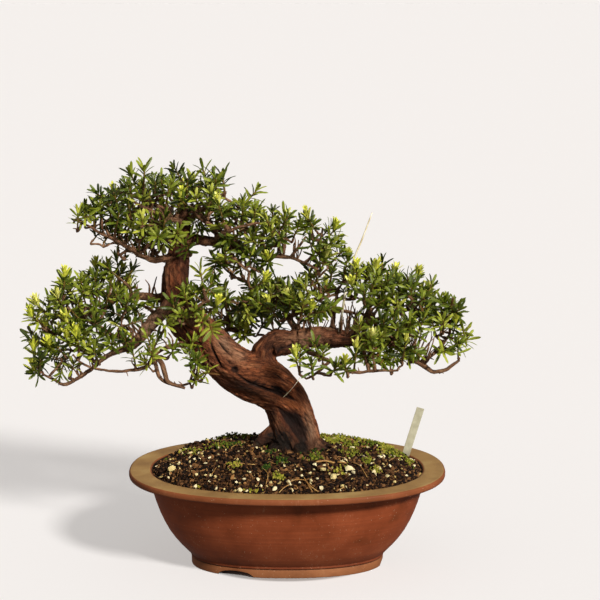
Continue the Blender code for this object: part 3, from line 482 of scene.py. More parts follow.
thickets = (  # bare twigs that rise from a limb: its name, from and to along it, how many, length, lean
    ("right_limb", 0.4, 0.64, 84, (14, 44), (0.28, -0.1, 1)), ("right_limb", 0.26, 0.42, 16, (10, 30), (-0.1, 0, 1)),
    ("right_limb", 0.62, 0.8, 34, (10, 36), (0.2, -0.3, 0.9)), ("shoulder_limb", 0.3, 0.9, 26, (8, 24), (0.1, -0.1, 1)),
    ("right_back", 0.1, 0.7, 24, (14, 36), (0.1, 0.1, 1)), ("back_low", 0.1, 0.9, 18, (8, 22), (0, -0.1, 1)),
    ("right_inner", 0.1, 0.8, 14, (8, 22), (0.1, 0, 1)), ("crown_rear", 0.2, 0.9, 12, (8, 20), (-0.1, 0, 1)),
    ("back_limb", 0.2, 0.9, 24, (10, 26), (0, -0.2, 1)), ("left_limb", 0.3, 0.85, 26, (8, 20), (-0.3, -0.1, 0.9)),
    ("left_back", 0.2, 0.9, 16, (8, 22), (-0.2, -0.2, 1)), ("crown_left", 0.2, 0.9, 16, (8, 20), (-0.1, -0.1, 1)),
    ("crown_front", 0.2, 0.9, 8, (8, 18), (0, -0.2, 1)), ("left_fork", 0.2, 0.8, 12, (8, 18), (-0.2, -0.2, 0.8)),
)
extraTwigs = (  # small forks: the low left one, two inside the crown and two on the shoulder limb
    ((-146, -43, 250, 2.8), (-138, -47, 243, 2.9), (-134, -50, 231, 2.8), (-130, -51, 222, 2.4), (-112, -53, 216, 1.6)),
    ((-106, -10, 414, 1.6), (-98, -20, 403, 2.2), (-84, -24, 393, 2.7), (-70, -16, 381, 3.0), (-66, -9, 374, 2.6)),
    ((-120, -6, 396, 3.4), (-134, -24, 404, 2.8), (-150, -34, 411, 2.0), (-166, -38, 420, 1.3)),
    ((-204, -46, 235, 1.5), (-216, -47, 238, 1.4), (-228, -46, 244, 1.2), (-236, -44, 252, 0.9)),
    ((-26, -14, 358, 2), (-13, -11, 371, 1.6), (-1, -8, 382, 1.2)),
    ((4, -15, 356, 1.9), (13, -12, 367, 1.6), (21, -9, 378, 1.2)),
)
strawPath = (
    (58, -4, 262), (59.5, -5, 276), (62, -6, 293), (66, -6, 317), (74, -5, 350), (84, -3, 375), (95, 0, 404),
)


# ---- where the shoots stand: the same rule as the CAD sprays, carried on until the tree is full

foliage = {
    "clouds": (  # region, centre, half sizes
        ("crown", (-201, -8, 395), (48, 50, 26)), ("crown", (-169, 2, 414), (42, 58, 28)),
        ("crown", (-128, 0, 424), (48, 62, 27)), ("crown", (-88, 0, 415), (34, 52, 29)),
        ("crown", (-143, -38, 387), (42, 30, 22)), ("crown", (-150, 44, 388), (50, 30, 22)),
        ("shoulder", (-54, -2, 394), (46, 54, 28)), ("shoulder", (-17, 2, 393), (42, 50, 22)),
        ("shoulder", (32, -4, 374), (34, 38, 34)), ("shoulder", (-66, -28, 358), (32, 24, 18)),
        ("left", (-257, -12, 272), (42, 48, 44)), ("left", (-219, 4, 305), (50, 60, 38)),
        ("left", (-180, -8, 290), (28, 48, 44)), ("left", (-235, -30, 252), (42, 32, 32)),
        ("left", (-152, -42, 251), (26, 26, 24)), ("left", (-100, -56, 242), (17, 14, 27)),
        ("front", (-99, -48, 303), (36, 22, 28)), ("back", (-60, 74, 278), (34, 34, 36)),
        ("back", (-20, 68, 294), (44, 40, 34)), ("right", (32, 20, 311), (50, 58, 34)),
        ("right", (85, 8, 312), (46, 72, 34)), ("right", (134, 4, 303), (42, 66, 38)),
        ("right", (177, -4, 270), (32, 48, 46)), ("right", (125, -42, 276), (44, 32, 26)),
        ("right", (42, -54, 242), (42, 24, 25)), ("right", (86, -50, 272), (34, 24, 22)),
    ),
    "lowClouds": (  # fill the ends and the undersides
        ("left", (-277, -25, 262), (20, 26, 26)), ("left", (-262, -30, 242), (24, 26, 20)),
        ("left", (-215, -34, 246), (34, 26, 20)), ("left", (-178, -40, 246), (26, 20, 18)),
        ("left", (-122, -50, 244), (18, 15, 18)), ("left", (-236, -20, 300), (50, 40, 30)),
        ("left", (-165, -10, 306), (26, 34, 22)),
        ("crown", (-185, -14, 376), (40, 34, 20)), ("crown", (-150, -16, 372), (28, 28, 18)),
        ("crown", (-232, -12, 398), (24, 26, 24)), ("crown", (-88, -12, 398), (26, 28, 28)),
        ("shoulder", (-72, -22, 354), (30, 24, 20)), ("shoulder", (-40, -24, 354), (28, 22, 18)),
        ("shoulder", (46, -8, 366), (22, 24, 20)), ("shoulder", (16, -8, 396), (24, 24, 20)),
        ("back", (-52, 20, 300), (36, 40, 26)), ("back", (-14, 28, 298), (36, 44, 24)),
        ("right", (24, 10, 296), (36, 44, 22)), ("right", (45, -50, 232), (30, 20, 20)),
        ("right", (66, -34, 246), (26, 22, 20)), ("right", (100, -38, 250), (30, 26, 20)),
        ("right", (128, -30, 254), (30, 28, 20)), ("right", (172, -18, 250), (28, 26, 22)),
        ("right", (202, -10, 268), (22, 24, 24)), ("right", (186, -4, 300), (26, 34, 22)),
        ("front", (-106, -42, 300), (28, 22, 26)), ("front", (-86, -44, 288), (22, 20, 20)),
        ("front", (-90, -26, 322), (22, 20, 18)), ("shoulder", (-55, -22, 378), (30, 24, 20)),
        ("shoulder", (-20, -26, 374), (30, 22, 20)), ("left", (-246, -32, 234), (22, 18, 14)),
        ("left", (-102, -54, 226), (14, 12, 16)), ("left", (-196, -34, 264), (26, 22, 18)),
        ("right", (62, -46, 240), (24, 18, 16)),
    ),
    "openings": (  # gaps in and round the clouds: (across, down), radius in pixels
        ((294, 196), 16), ((92, 244), 14), ((60, 202), 16), ((484, 316), 16), ((150, 276), 11), ((470, 286), 16),
        ((14, 348), 12), ((428, 266), 14), ((358, 236), 16), ((20, 316), 13), ((44, 276), 14), ((52, 232), 16),
        ((340, 204), 16), ((288, 270), 8), ((116, 254), 7), ((234, 284), 6), ((452, 276), 16), ((112, 364), 6),
        ((96, 388), 16), ((74, 256), 14), ((128, 256), 8), ((454, 384), 16), ((362, 382), 12), ((196, 158), 14),
        ((298, 214), 6), ((272, 186), 16), ((42, 394), 16), ((242, 176), 12), ((24, 292), 15), ((366, 216), 16),
        ((142, 386), 14), ((400, 252), 14), ((210, 394), 12), ((74, 234), 9), ((14, 366), 13), ((164, 394), 13),
        ((86, 360), 5), ((476, 362), 13), ((106, 170), 12), ((308, 244), 5), ((408, 380), 13), ((196, 260), 7),
        ((314, 390), 9), ((170, 152), 13), ((146, 156), 13), ((386, 380), 11), ((186, 396), 10), ((318, 196), 11),
        ((288, 246), 5), ((382, 254), 9), ((278, 266), 6), ((290, 354), 5), ((490, 336), 14), ((84, 262), 9),
        ((86, 180), 11), ((118, 364), 6), ((176, 370), 6), ((120, 386), 12), ((248, 342), 7), ((332, 396), 11),
        ((104, 254), 6), ((228, 162), 13), ((104, 366), 5), ((126, 160), 11), ((236, 260), 4), ((430, 338), 4),
        ((98, 242), 10), ((124, 256), 8), ((18, 308), 16), ((346, 216), 13), ((254, 180), 13), ((110, 256), 6),
        ((30, 320), 6), ((50, 288), 5), ((34, 298), 6), ((346, 260), 4), ((238, 294), 4), ((300, 372), 5),
        ((194, 278), 5), ((58, 278), 4), ((438, 342), 4), ((424, 344), 5), ((136, 290), 4), ((302, 256), 5),
        ((462, 320), 4), ((204, 380), 5), ((300, 270), 4), ((448, 360), 4), ((254, 336), 5), ((198, 268), 5),
        ((144, 322), 6), ((134, 336), 5),
    ),
    "openingReach": 1.2, "openingMargin": 3.5,  # a stem keeps to this many radii and pixels from them
    "fills": (  # single shoots where the clouds leave a hole: (across, down), depth in mm
        ((244, 326), 62), ((262, 326), 60), ((280, 326), 58), ((232, 322), 50), ((254, 316), 66), ((272, 314), 52),
        ((300, 322), 30), ((292, 312), 44), ((320, 300), 20), ((198, 366), -55), ((190, 356), -52), ((190, 346), -40),
        ((206, 374), -56), ((196, 380), -54), ((344, 360), -50), ((300, 358), -52), ((330, 352), -50),
        ((316, 350), -40),
        ((352, 352), -46), ((112, 272), -8), ((118, 268), 6), ((156, 308), 4), ((192, 300), -34), ((202, 280), -46),
        ((208, 290), -40), ((196, 312), -44), ((184, 318), -40), ((120, 230), -20), ((144, 178), -10), ((134, 182), 10),
        ((100, 196), -20), ((214, 180), -8), ((224, 186), 6), ((250, 198), 10), ((318, 254), -10), ((330, 248), -6),
        ((382, 272), 4), ((222, 266), -14), ((404, 300), -10), ((458, 350), -20), ((42, 362), -34), ((134, 358), -44),
        ((126, 344), -40), ((150, 344), -46), ((106, 336), -40), ((96, 326), -44), ((166, 326), -40), ((78, 344), -46),
        ((152, 356), -48), ((146, 364), -50), ((60, 350), -40), ((108, 236), -24), ((118, 242), -20), ((126, 248), -16),
        ((98, 234), -26), ((286, 228), -12), ((280, 236), 6), ((296, 232), -16), ((284, 220), 10), ((328, 258), -8),
        ((320, 264), 6), ((338, 256), -4), ((194, 294), -36), ((234, 266), -10), ((242, 254), 4), ((324, 364), -50),
        ((330, 358), -46), ((40, 366), -34), ((84, 352), -46), ((96, 356), -44), ((240, 330), 70), ((226, 330), 60),
        ((362, 310), -20), ((408, 358), -30), ((390, 362), -44), ((240, 236), -14), ((206, 178), 0), ((172, 352), -46),
        ((138, 312), -10), ((434, 328), -20), ((248, 286), 40), ((330, 350), -48), ((312, 370), -56),
        ((112, 346), -44), ((252, 322), 58),
        ((196, 304), -38), ((240, 268), -8), ((188, 250), -20), ((328, 230), 0), ((370, 304), -10), ((264, 234), -6),
        ((306, 230), -10), ((222, 264), -20), ((178, 174), -10), ((130, 274), -4), ((94, 218), -20), ((216, 186), -12),
    ),
    "fillShifts": (0, -6, 6, -12, 12, -18, 18, -26, 26),  # depths that a single shoot tries, in mm
    "fillDrop": 8, "fillDepthWeight": 0.15, "fillForward": 5,  # it stands near the wood seen just below it
    "fillOut": 0.7, "fillLean": (0, -0.2, 0.8), "middleDepth": 15,
    "candidatesPerCloud": 90, "lowestSlope": -0.45, "needleReach": 13.0, "innerShare": 0.5,
    "upwardLean": 0.75, "looseLean": 0.22, "seed": 7,
    "hangingSlope": -0.9, "hangingLean": 0.3,  # the same two for the low clouds
    "lightLean": 0.5,  # how far the shoots that fill in turn to the light
    "sprayCount": 47,  # the sprays that the CAD model has
    "shootCount": 232, "lowShootCount": 98,
    "shootLength": 19.0, "shootRadius": 1.1, "seatGap": 0.3, "clearance": 0.5,
    "twigRadius": 1.1, "twigFootRadius": 1.7, "twigEnd": 4.0, "longestTwig": 62.0, "twigClimb": 1.2,
    "spacing": {"sprays": 6.0, "bright": 1.2, "fills": 2.6, "loose": 3.2},  # between the stems of two shoots
    "sparse": {"left": 3.0},  # added to it where the photo shows more wood than leaves
    "strawView": 15.0,  # pixels kept clear each side of the grass stem
}


newGrowth = {
    "seen": (  # the middle of each bright new shoot in the photo: (across, down)
        (96, 262), (64, 273), (105, 263), (118, 265), (131, 276), (60, 289), (45, 298), (39, 308), (74, 311),
        (56, 321), (69, 330), (77, 329), (51, 335), (35, 343), (37, 359), (113, 188), (183, 182), (179, 192),
        (176, 217), (221, 199), (214, 294), (212, 305), (312, 211), (330, 221), (323, 251), (346, 253),
        (269, 249), (258, 271), (371, 262), (388, 267), (356, 264), (354, 276), (411, 270), (424, 288),
        (431, 287), (419, 308), (454, 316), (404, 339), (373, 336), (355, 347), (346, 355), (286, 293),
        (273, 298), (307, 305), (297, 349), (245, 322),
    ),
    "elsewhere": 0.16,  # share of the shoots behind the front ones that have one
    "sizes": (0.9, 1.12), "rise": 14.0,  # a bright brush stands this many pixels over the middle of its shoot
}


class Segments:
    # straight runs with a radius, to measure how far a new run stays clear of them
    def __init__(self):
        self.starts, self.ends, self.radii = [], [], []

    def add(self, start, end, radius):
        self.starts.append(tuple(start))
        self.ends.append(tuple(end))
        self.radii.append(radius)

    def addPath(self, samples):
        for first, second in zip(samples, samples[1:]):
            self.add(first[:3], second[:3], max(first[3], second[3]))

    def room(self, start, end, radius):
        p0, p1 = np.array(start, float), np.array(end, float)
        q0, q1 = np.array(self.starts), np.array(self.ends)
        u, v, w = p1 - p0, q1 - q0, p0 - q0
        a, b, c = u @ u, v @ u, (v * v).sum(1)
        d, e = w @ u, (v * w).sum(1)
        s = np.clip((b * e - c * d) / np.maximum(a * c - b * b, 1e-9), 0, 1)
        t = np.clip((b * s + e) / np.maximum(c, 1e-9), 0, 1)
        s = np.clip((b * t - d) / a, 0, 1)
        gaps = np.linalg.norm(w + s[:, None] * u - t[:, None] * v, axis=1)
        return float((gaps - np.array(self.radii)).min()) - radius


def shootCandidates(draw, clouds, lowestSlope, upwardLean):
    found = []
    for name, centre, half in clouds:
        room = np.maximum(np.array(half, float) - foliage["needleReach"], 3)
        for _ in range(foliage["candidatesPerCloud"]):
            slope = draw.uniform(lowestSlope, 1)
            turn = draw.uniform(0, 2 * math.pi)
            level = math.sqrt(1 - slope * slope)
            way = np.array((level * math.cos(turn), level * math.sin(turn), slope))
            depth = draw.uniform(foliage["innerShare"], 1) ** 0.5
            middle = np.array(centre) + room * way * depth
            lean = way / room * room.min() + np.array((0, 0, upwardLean))
            lean += np.array([draw.gauss(0, foliage["looseLean"]) for _ in range(3)])
            found.append((name, middle, lean / np.linalg.norm(lean)))
    return found


def spreadOut(candidates, first):
    # farthest-point order: any first few cover the whole tree
    places = np.array([middle for _, middle, _ in candidates])
    nearest = np.linalg.norm(places - np.array(first), axis=1)
    for _ in candidates:
        pick = int(nearest.argmax())
        yield candidates[pick]
        nearest = np.minimum(nearest, np.linalg.norm(places - places[pick], axis=1))


def twigPath(stations, foot, way, steps):
    places = stations[:, :3]
    reach = np.linalg.norm(places - foot, axis=1)
    climb = np.maximum(places[:, 2] - foot[2], 0)
    best = int((reach + foliage["twigClimb"] * climb).argmin())
    if reach[best] > foliage["longestTwig"]:
        return None
    start, last = places[best], foot - way * foliage["twigEnd"]
    lift = start + (last - start) * 0.35 + np.array((0, 0, 0.12)) * reach[best]
    approach = last - way * reach[best] * 0.3
    firstRadius = min(foliage["twigFootRadius"], 0.85 * stations[best][3])
    rows = []
    for step in range(steps + 1):
        t = step / steps
        place = (1 - t) ** 3 * start + 3 * (1 - t) ** 2 * t * lift
        place += 3 * (1 - t) * t * t * approach + t ** 3 * last
        rows.append((*place, firstRadius + (foliage["twigRadius"] - firstRadius) * t))
    rows.append((*foot, foliage["twigRadius"]))
    return rows


def inOpening(foot, tip):
    ends = inPicture((foot, tip))
    run = ends[1] - ends[0]
    for place, reach in foliage["openings"]:
        share = min(1, max(0, (np.array(place) - ends[0]) @ run / (run @ run)))
        if math.dist(place, ends[0] + share * run) < foliage["openingReach"] * reach + foliage["openingMargin"]:
            return True
    return False


def hidesStraw(middle):
    # in front of the pale grass stem, which stays in view
    stem = np.array(strawPath, float)
    seen = inPicture(stem)[::-1]
    across, down = inPicture(middle)[0]
    depth = np.interp(down, seen[:, 1], stem[::-1, 1])
    return abs(across - np.interp(down, seen[:, 1], seen[:, 0])) < foliage["strawView"] and middle[1] < depth


def fillCandidates(stations, spot, depth=None):
    # the same shoot at a few depths, for the first that finds room
    if depth is None:
        seen = inPicture(stations[:, :3])
        gap = np.hypot(seen[:, 0] - spot[0], seen[:, 1] - spot[1] - foliage["fillDrop"])
        depth = stations[(gap + foliage["fillDepthWeight"] * stations[:, 1]).argmin(), 1] - foliage["fillForward"]
    for shift in foliage["fillShifts"]:
        eye, sight = sightLine(*spot)
        middle = np.array(eye + sight * ((depth + shift - eye.y) / sight.y))
        out = middle - stations[np.linalg.norm(stations[:, :3] - middle, axis=1).argmin(), :3]
        way = out / np.linalg.norm(out) * foliage["fillOut"] + np.array(foliage["fillLean"])
        name = min(foliage["clouds"], key=lambda cloud: math.dist(cloud[1], middle))[0]
        yield name, middle, way / np.linalg.norm(way)


def layOutShoots():
    wood, stems = Segments(), Segments()
    wood.addPath(smoothPath(trunkPath, 2))
    for path in limbPaths.values():
        wood.addPath(smoothPath(path, 2))
    stems.addPath([(*place, 0.9) for place in strawPath])
    draw = random.Random(foliage["seed"])
    stations = np.array([sample for path in limbPaths.values() for sample in smoothPath(path, 4)[3:]])
    upper = shootCandidates(draw, foliage["clouds"], foliage["lowestSlope"], foliage["upwardLean"])
    lower = shootCandidates(draw, foliage["lowClouds"], foliage["hangingSlope"], foliage["hangingLean"])
    upper, lower = spreadOut(upper, trunkPath[0][:3]), spreadOut(lower, trunkPath[0][:3])
    shoots = []
    radius, clearance = foliage["shootRadius"], foliage["clearance"]

    def growShoots(candidates, count, kind):
        nonlocal stations
        most = len(shoots) + count
        for name, middle, way in candidates:
            carried = kind == "sprays"  # the CAD sprays, with the CAD's own tests
            if kind == "loose":
                way = way + np.array((0, math.copysign(foliage["lightLean"], middle[1] - foliage["middleDepth"]), 0))
                way = way / np.linalg.norm(way)
            foot = middle - way * foliage["shootLength"] / 2
            tip = middle + way * foliage["shootLength"] / 2
            twig = twigPath(stations, foot, way, 2 if carried else 4)
            base = foot + way * foliage["seatGap"]
            if twig is None or wood.room(base, tip, radius + 2 * clearance) < 0:
                continue
            if carried:
                runs = list(zip(twig, twig[1:]))
                if any(stems.room(a[:3], b[:3], max(a[3], b[3]) + 2 * clearance) < 0 for a, b in runs):
                    continue
            elif kind != "bright" and hidesStraw(middle) or kind == "loose" and inOpening(foot, tip):
                continue
            spacing = foliage["spacing"][kind] + (foliage["sparse"].get(name, 0) if kind == "loose" else 0)
            if stems.room(base, tip, radius + spacing) < 0:
                continue
            wood.addPath(twig)
            stems.add(base, tip, radius)
            shoots.append({"region": name, "base": base, "way": way, "twig": twig, "bright": kind == "bright"})
            if kind != "sprays" or len(shoots) == most:  # what fills in may also spring from twigs
                stations = np.vstack([stations, np.array(twig[1:-1])])
            if len(shoots) == most:
                return

    growShoots(upper, foliage["sprayCount"], "sprays")
    for across, down in newGrowth["seen"]:
        growShoots(fillCandidates(stations, (across, down + newGrowth["rise"])), 1, "bright")
    for spot, depth in foliage["fills"]:
        growShoots(fillCandidates(stations, spot, depth), 1, "fills")
    growShoots(upper, foliage["shootCount"] - foliage["sprayCount"], "loose")
    growShoots(lower, foliage["lowShootCount"], "loose")
    return shoots


shoots = layOutShoots()
print("shoots laid out:", len(shoots))


# ---- trunk and limbs: one skin over all the thick wood, then bark relief along the grain

barkRelief = {
    "voxel": 1.22,  # size of the skin's faces
    "thinBelow": 2.3,  # thinner wood is made as tubes
    "twist": 0.011,  # turn of the grain, in radians a mm of trunk
    "ridgeWidth": 7.0, "ridgeLength": 34.0, "lineWidth": 2.3, "lineLength": 7.0,
    "swell": 1.3, "fissure": 1.9, "plate": 1.3, "fine": 0.8, "wrinkle": 0.9,  # depths of the relief
    "wrinkleLength": 2.1,  # between the rings that cross a bent limb
    "burls": (  # swellings at the heel of the right limb and in the left crotch
        ((-14, 4, 249, 10.5), (0, 3, 251.5, 10.2), (13, 2, 254.5, 8.2)),
        ((-125, -4, 293, 9), (-124, -4, 277, 9), (-112, -2, 262, 9)),
        ((-132, -10, 300, 8), (-142, -19, 291, 7.6), (-153, -26, 280, 7), (-162, -30, 269, 6.6), (-172, -33, 259, 5.6)),
        ((-125, 2, 346, 12.4), (-127, 1, 328, 13.2), (-126, 0, 310, 15)),
        ((-176, -31, 262, 5), (-184, -30, 269, 5), (-181, -28, 277, 4)),
        ((-14, 2, 154, 9), (-26, -5, 147, 6.5), (-36, -10, 139, 4.8), (-42, -14, 130, 3.4)),
        ((14, 2, 262, 9.4), (32, 1, 264.5, 9.6), (50, 0, 265, 8.8), (70, -2, 263, 7.8)),
    ),
    "dabs": (  # painted light and shade on the front: 0 dark is painted shade, 1 warm and 2 pale are painted light; centre, half sizes, lean, strength
        (0, (-46, 209), (42, 10), -20, 0.85), (0, (-9, 206), (11, 6), -20, 0.8), (0, (5, 170), (13, 10), -45, 1.0),
        (0, (-10, 146), (24, 18), 0, 1.1), (0, (-17, 176), (8, 16), 0, 0.75), (0, (-96, 236), (9, 26), 30, 0.55),
        (0, (-112, 330), (5, 40), 0, 0.6), (0, (-30, 236), (10, 6), -30, 0.35), (0, (16, 138), (12, 12), -60, 1.0),
        (0, (30, 252), (44, 4), 0, 0.6), (0, (-20, 248), (5, 16), 0, 0.4), (0, (-122, 288), (6, 12), -30, 0.7),
        (1, (11, 187), (27, 5), -24, 0.95), (1, (27, 162), (6, 22), 8, 0.75), (1, (-100, 262), (10, 16), 30, 0.4),
        (1, (-30, 222), (16, 7), -25, 0.35), (1, (-128, 335), (5, 30), 0, 0.3),
        (2, (-70, 258), (15, 9), -45, 0.8), (2, (-53, 246), (9, 6), -40, 0.6), (2, (31, 150), (4, 16), 0, 0.4),
        (2, (-140, 290), (10, 20), 40, 0.75), (2, (-156, 277), (12, 9), 40, 0.7), (2, (14, 226), (14, 6), -40, 0.25),
        (2, (-198, 250), (20, 6), 20, 0.5), (0, (-33, 143), (12, 14), 30, 0.8),
        (0, (-6, 146), (20, 20), 0, 1.3), (0, (14, 140), (22, 9), 0, 1.0),
        (2, (-148, 284), (22, 12), 40, 0.9), (2, (20, 262), (34, 10), 0, 0.4),
        (1, (30, 180), (12, 18), -20, 0.8), (2, (27, 158), (8, 24), 8, 0.85), (1, (-8, 196), (26, 5), -22, 0.5),
        (2, (-60, 250), (14, 9), -45, 0.5), (1, (-78, 262), (16, 14), -40, 0.5),
    ),
    "slits": (  # deep cracks on the front: ((x, z), ...), half width, depth
        (((-84, 266), (-83, 255), (-77.5, 241), (-72, 231)), 1.15, 5.0),
        (((-76, 262), (-70.5, 255), (-63, 247)), 1.25, 5.5),
        (((-68, 245), (-62, 237)), 1.2, 3.0),
        (((-60, 234), (-56, 229)), 3.6, 6.0),
        (((-57, 226), (-41, 214), (-19, 206), (12, 192)), 1.4, 4.5),
        (((-13, 208), (-4, 203)), 4.0, 3.0),
        (((-28, 233), (-10, 223), (8, 206)), 1.1, 1.6),
        (((-100, 262), (-88, 240), (-66, 216)), 1.2, 2.0),
        (((-4, 181), (6, 171), (15, 158), (20, 142)), 7.0, 5.0),
        (((-12, 186), (-2, 182), (20, 172), (34, 160)), 1.4, 2.2),
    ),
}


def woodRuns():
    # thick stretches that go into the skin, and thin ones that become tubes
    thick, thin = [smoothPath(trunkPath, 6)], []
    x, y, z = roots["start"]
    for bearing in roots["bearings"]:
        turn = math.radians(bearing)
        course = [
            (x + reach * math.cos(turn), y + reach * math.sin(turn), z + rise, radius)
            for reach, rise, radius in roots["course"]
        ]
        thick.append(smoothPath(course, 5))
    for path in limbPaths.values():
        samples = smoothPath(path, 6)
        count = sum(1 for sample in samples if sample[3] >= barkRelief["thinBelow"])
        if count > 3:
            thick.append(samples[:count])
        thin.append(samples[max(0, count - 3):])
    return thick, [run for run in thin if len(run) > 2]


def knobbly(run, wander, swell, salt):
    # young wood isn't a clean tube: it wanders a little and swells where twigs left
    rows = []
    for index, (x, y, z, radius) in enumerate(run):
        spot = Vector((x, y, z)) / 11 + Vector((salt, 0, 0))
        push = noise.noise_vector(spot) * wander * min(1, index / 2)
        bulge = 1 + swell * (noise.noise(spot * 1.7 + Vector((0, 5, 0))) + noise.noise(spot * 4.3))
        rows.append((x + push.x, y + push.y, z + push.z, radius * bulge))
    return rows


def flute(mesh):
    # the trunk's long muscles and hollows, as in the CAD
    centres = np.array([point[:3] for point in smoothPath(trunkPath, 6)])
    radii = np.array([point[3] for point in smoothPath(trunkPath, 6)])
    places = pointsOf(mesh)
    for index, place in enumerate(places):
        offsets = place - centres
        nearest = int((offsets ** 2).sum(1).argmin())
        spoke = offsets[nearest]
        reach = np.linalg.norm(spoke)
        if reach > 0.3 * radii[nearest]:
            turn = math.atan2(spoke[1], spoke[0] + 0.6 * spoke[2])
            along = nearest / 6 / 21
            swell = 0.055 * math.cos(3 * turn + 9 * along) + 0.04 * math.cos(5 * turn - 14 * along + 1)
            places[index] += spoke / reach * swell * radii[nearest]
    setPoints(mesh, places)


def grainOf(places, runs):
    # for each point: (across, across, along) the nearest run of wood, turned with the grain, and its radius
    centres, tangents, normals, lengths, radii = [], [], [], [], []
    offset = 0
    for run in runs:
        line = np.array(run)[:, :3]
        ways = np.gradient(line, axis=0)
        ways /= np.linalg.norm(ways, axis=1)[:, None]
        side = np.cross(ways[0], (0.3, 1, 0.2))
        steps = np.r_[0, np.cumsum(np.linalg.norm(np.diff(line, axis=0), axis=1))]
        for place, way, step, radius in zip(line, ways, steps, np.array(run)[:, 3]):
            side = side - way * (side @ way)
            side = side / np.linalg.norm(side)
            centres.append(place)
            tangents.append(way)
            normals.append(side)
            lengths.append(offset + step)
            radii.append(radius)
        offset += steps[-1] + 50
    centres, tangents, normals = np.array(centres), np.array(tangents), np.array(normals)
    lengths, radii = np.array(lengths), np.array(radii)
    grain, size = np.empty((len(places), 3)), np.empty(len(places))
    for start in range(0, len(places), 4000):
        part = places[start:start + 4000]
        gaps = np.linalg.norm(part[:, None] - centres[None], axis=2) - radii[None]
        best = gaps.argmin(1)
        spoke = part - centres[best]
        along = lengths[best] + (spoke * tangents[best]).sum(1)
        other = np.cross(tangents[best], normals[best])
        turn = np.arctan2((spoke * other).sum(1), (spoke * normals[best]).sum(1)) + barkRelief["twist"] * along
        grain[start:start + 4000] = np.stack(
            [np.cos(turn) * radii[best], np.sin(turn) * radii[best], along], 1)
        size[start:start + 4000] = radii[best]
    return grain, size


def slitDepth(places):
    depth = np.zeros(len(places))
    front = places[:, 1] < 2
    flat = places[:, (0, 2)]
    for line, width, deep in barkRelief["slits"]:
        corners = np.array(line, float)
        nearest = np.full(len(places), 1e9)
        share = np.zeros(len(places))
        for number, (start, end) in enumerate(zip(corners, corners[1:])):
            run = end - start
            t = np.clip(((flat - start) @ run) / (run @ run), 0, 1)
            gap = np.linalg.norm(flat - start - t[:, None] * run, axis=1)
            closer = gap < nearest
            share[closer] = (number + t[closer]) / (len(corners) - 1)
            nearest = np.minimum(nearest, gap)
        fade = 0.35 + 0.65 * np.sin(math.pi * np.clip(share, 0.02, 0.98))
        depth = np.maximum(depth, front * deep * fade * np.exp(-(nearest / width) ** 2))
    return depth


def dabStrength(places):
    strength = np.zeros((len(places), 3))
    front = np.clip((6 - places[:, 1]) / 12, 0, 1)
    for kind, centre, half, lean, most in barkRelief["dabs"]:
        turn = math.radians(lean)
        offset = places[:, (0, 2)] - np.array(centre)
        along = (offset[:, 0] * math.cos(turn) + offset[:, 1] * math.sin(turn)) / half[0]
        across = (offset[:, 1] * math.cos(turn) - offset[:, 0] * math.sin(turn)) / half[1]
        strength[:, kind] = np.maximum(strength[:, kind], front * most * np.exp(-(along ** 2 + across ** 2)))
    return strength


def carveBark(mesh, runs):
    places, facing = pointsOf(mesh), pointsOf(mesh, "normal")
    grain, size = grainOf(places, runs)
    across, length = barkRelief["ridgeWidth"], barkRelief["ridgeLength"]
    thin, long = barkRelief["lineWidth"], barkRelief["lineLength"]
    strength = np.clip(size / 10, 0.35, 1)
    limb = np.clip((14 - size) / 4, 0, 1)
    relief = np.empty(len(places))
    for index, (a, b, along) in enumerate(grain):
        spot = Vector((a / across, b / across, along / length))
        swell = noise.noise(spot * 0.4)
        crack = noise.noise(spot * 0.9 + Vector((7, 3, 1)))
        fissure = math.exp(-(crack / 0.075) ** 2) * max(0, min(1, 0.25 + 2.2 * noise.noise(spot * 0.25)))
        plate = 1 / (1 + math.exp(-16 * noise.noise(spot * 0.6 + Vector((2, 8, 5))))) - 0.5
        fine = noise.noise(Vector((a / thin, b / thin, along / long)))
        wrinkle = noise.noise(Vector((a / 10, b / 10, along / barkRelief["wrinkleLength"])))
        relief[index] = strength[index] * (
            barkRelief["swell"] * swell - barkRelief["fissure"] * fissure + barkRelief["plate"] * plate
            + barkRelief["fine"] * fine + barkRelief["wrinkle"] * wrinkle * limb[index]
        )
    relief -= slitDepth(places)
    setPoints(mesh, places + facing * relief[:, None])
    storeVector(mesh, "dabs", dabStrength(places))
    mesh.transform(toFrame)
    storeVector(mesh, "grain", grain * mm)
    storeVector(mesh, "relief", np.stack([relief / 3, size / 30, np.zeros(len(size))], 1))


def makeTrunk(thick):
    trunk = tubeMesh("trunk", thick[:1], 40)
    flute(trunk)
    bm = bmesh.new()
    bm.from_mesh(trunk)
    bm.from_mesh(tubeMesh("limbs", [knobbly(run, 1.5, 0.16, 3) for run in thick[1:]], 20))
    bm.from_mesh(tubeMesh("burls", [smoothPath(run, 5) for run in barkRelief["burls"]], 20))
    body = meshFrom(bm, "thickWood")

    def skin(guide):
        modifier = guide.modifiers.new("skin", "REMESH")
        modifier.mode, modifier.voxel_size = "VOXEL", barkRelief["voxel"]
        smooth = guide.modifiers.new("soften", "SMOOTH")
        smooth.factor, smooth.iterations = 0.5, 4

    mesh = evaluated(body, skin)
    carveBark(mesh, thick)
    mesh.shade_smooth()
    mesh.name = "trunkBark"
    makePiece("trunkAndLimbs", mesh, barkMaterial(), "bark", "trunk_and_branches")


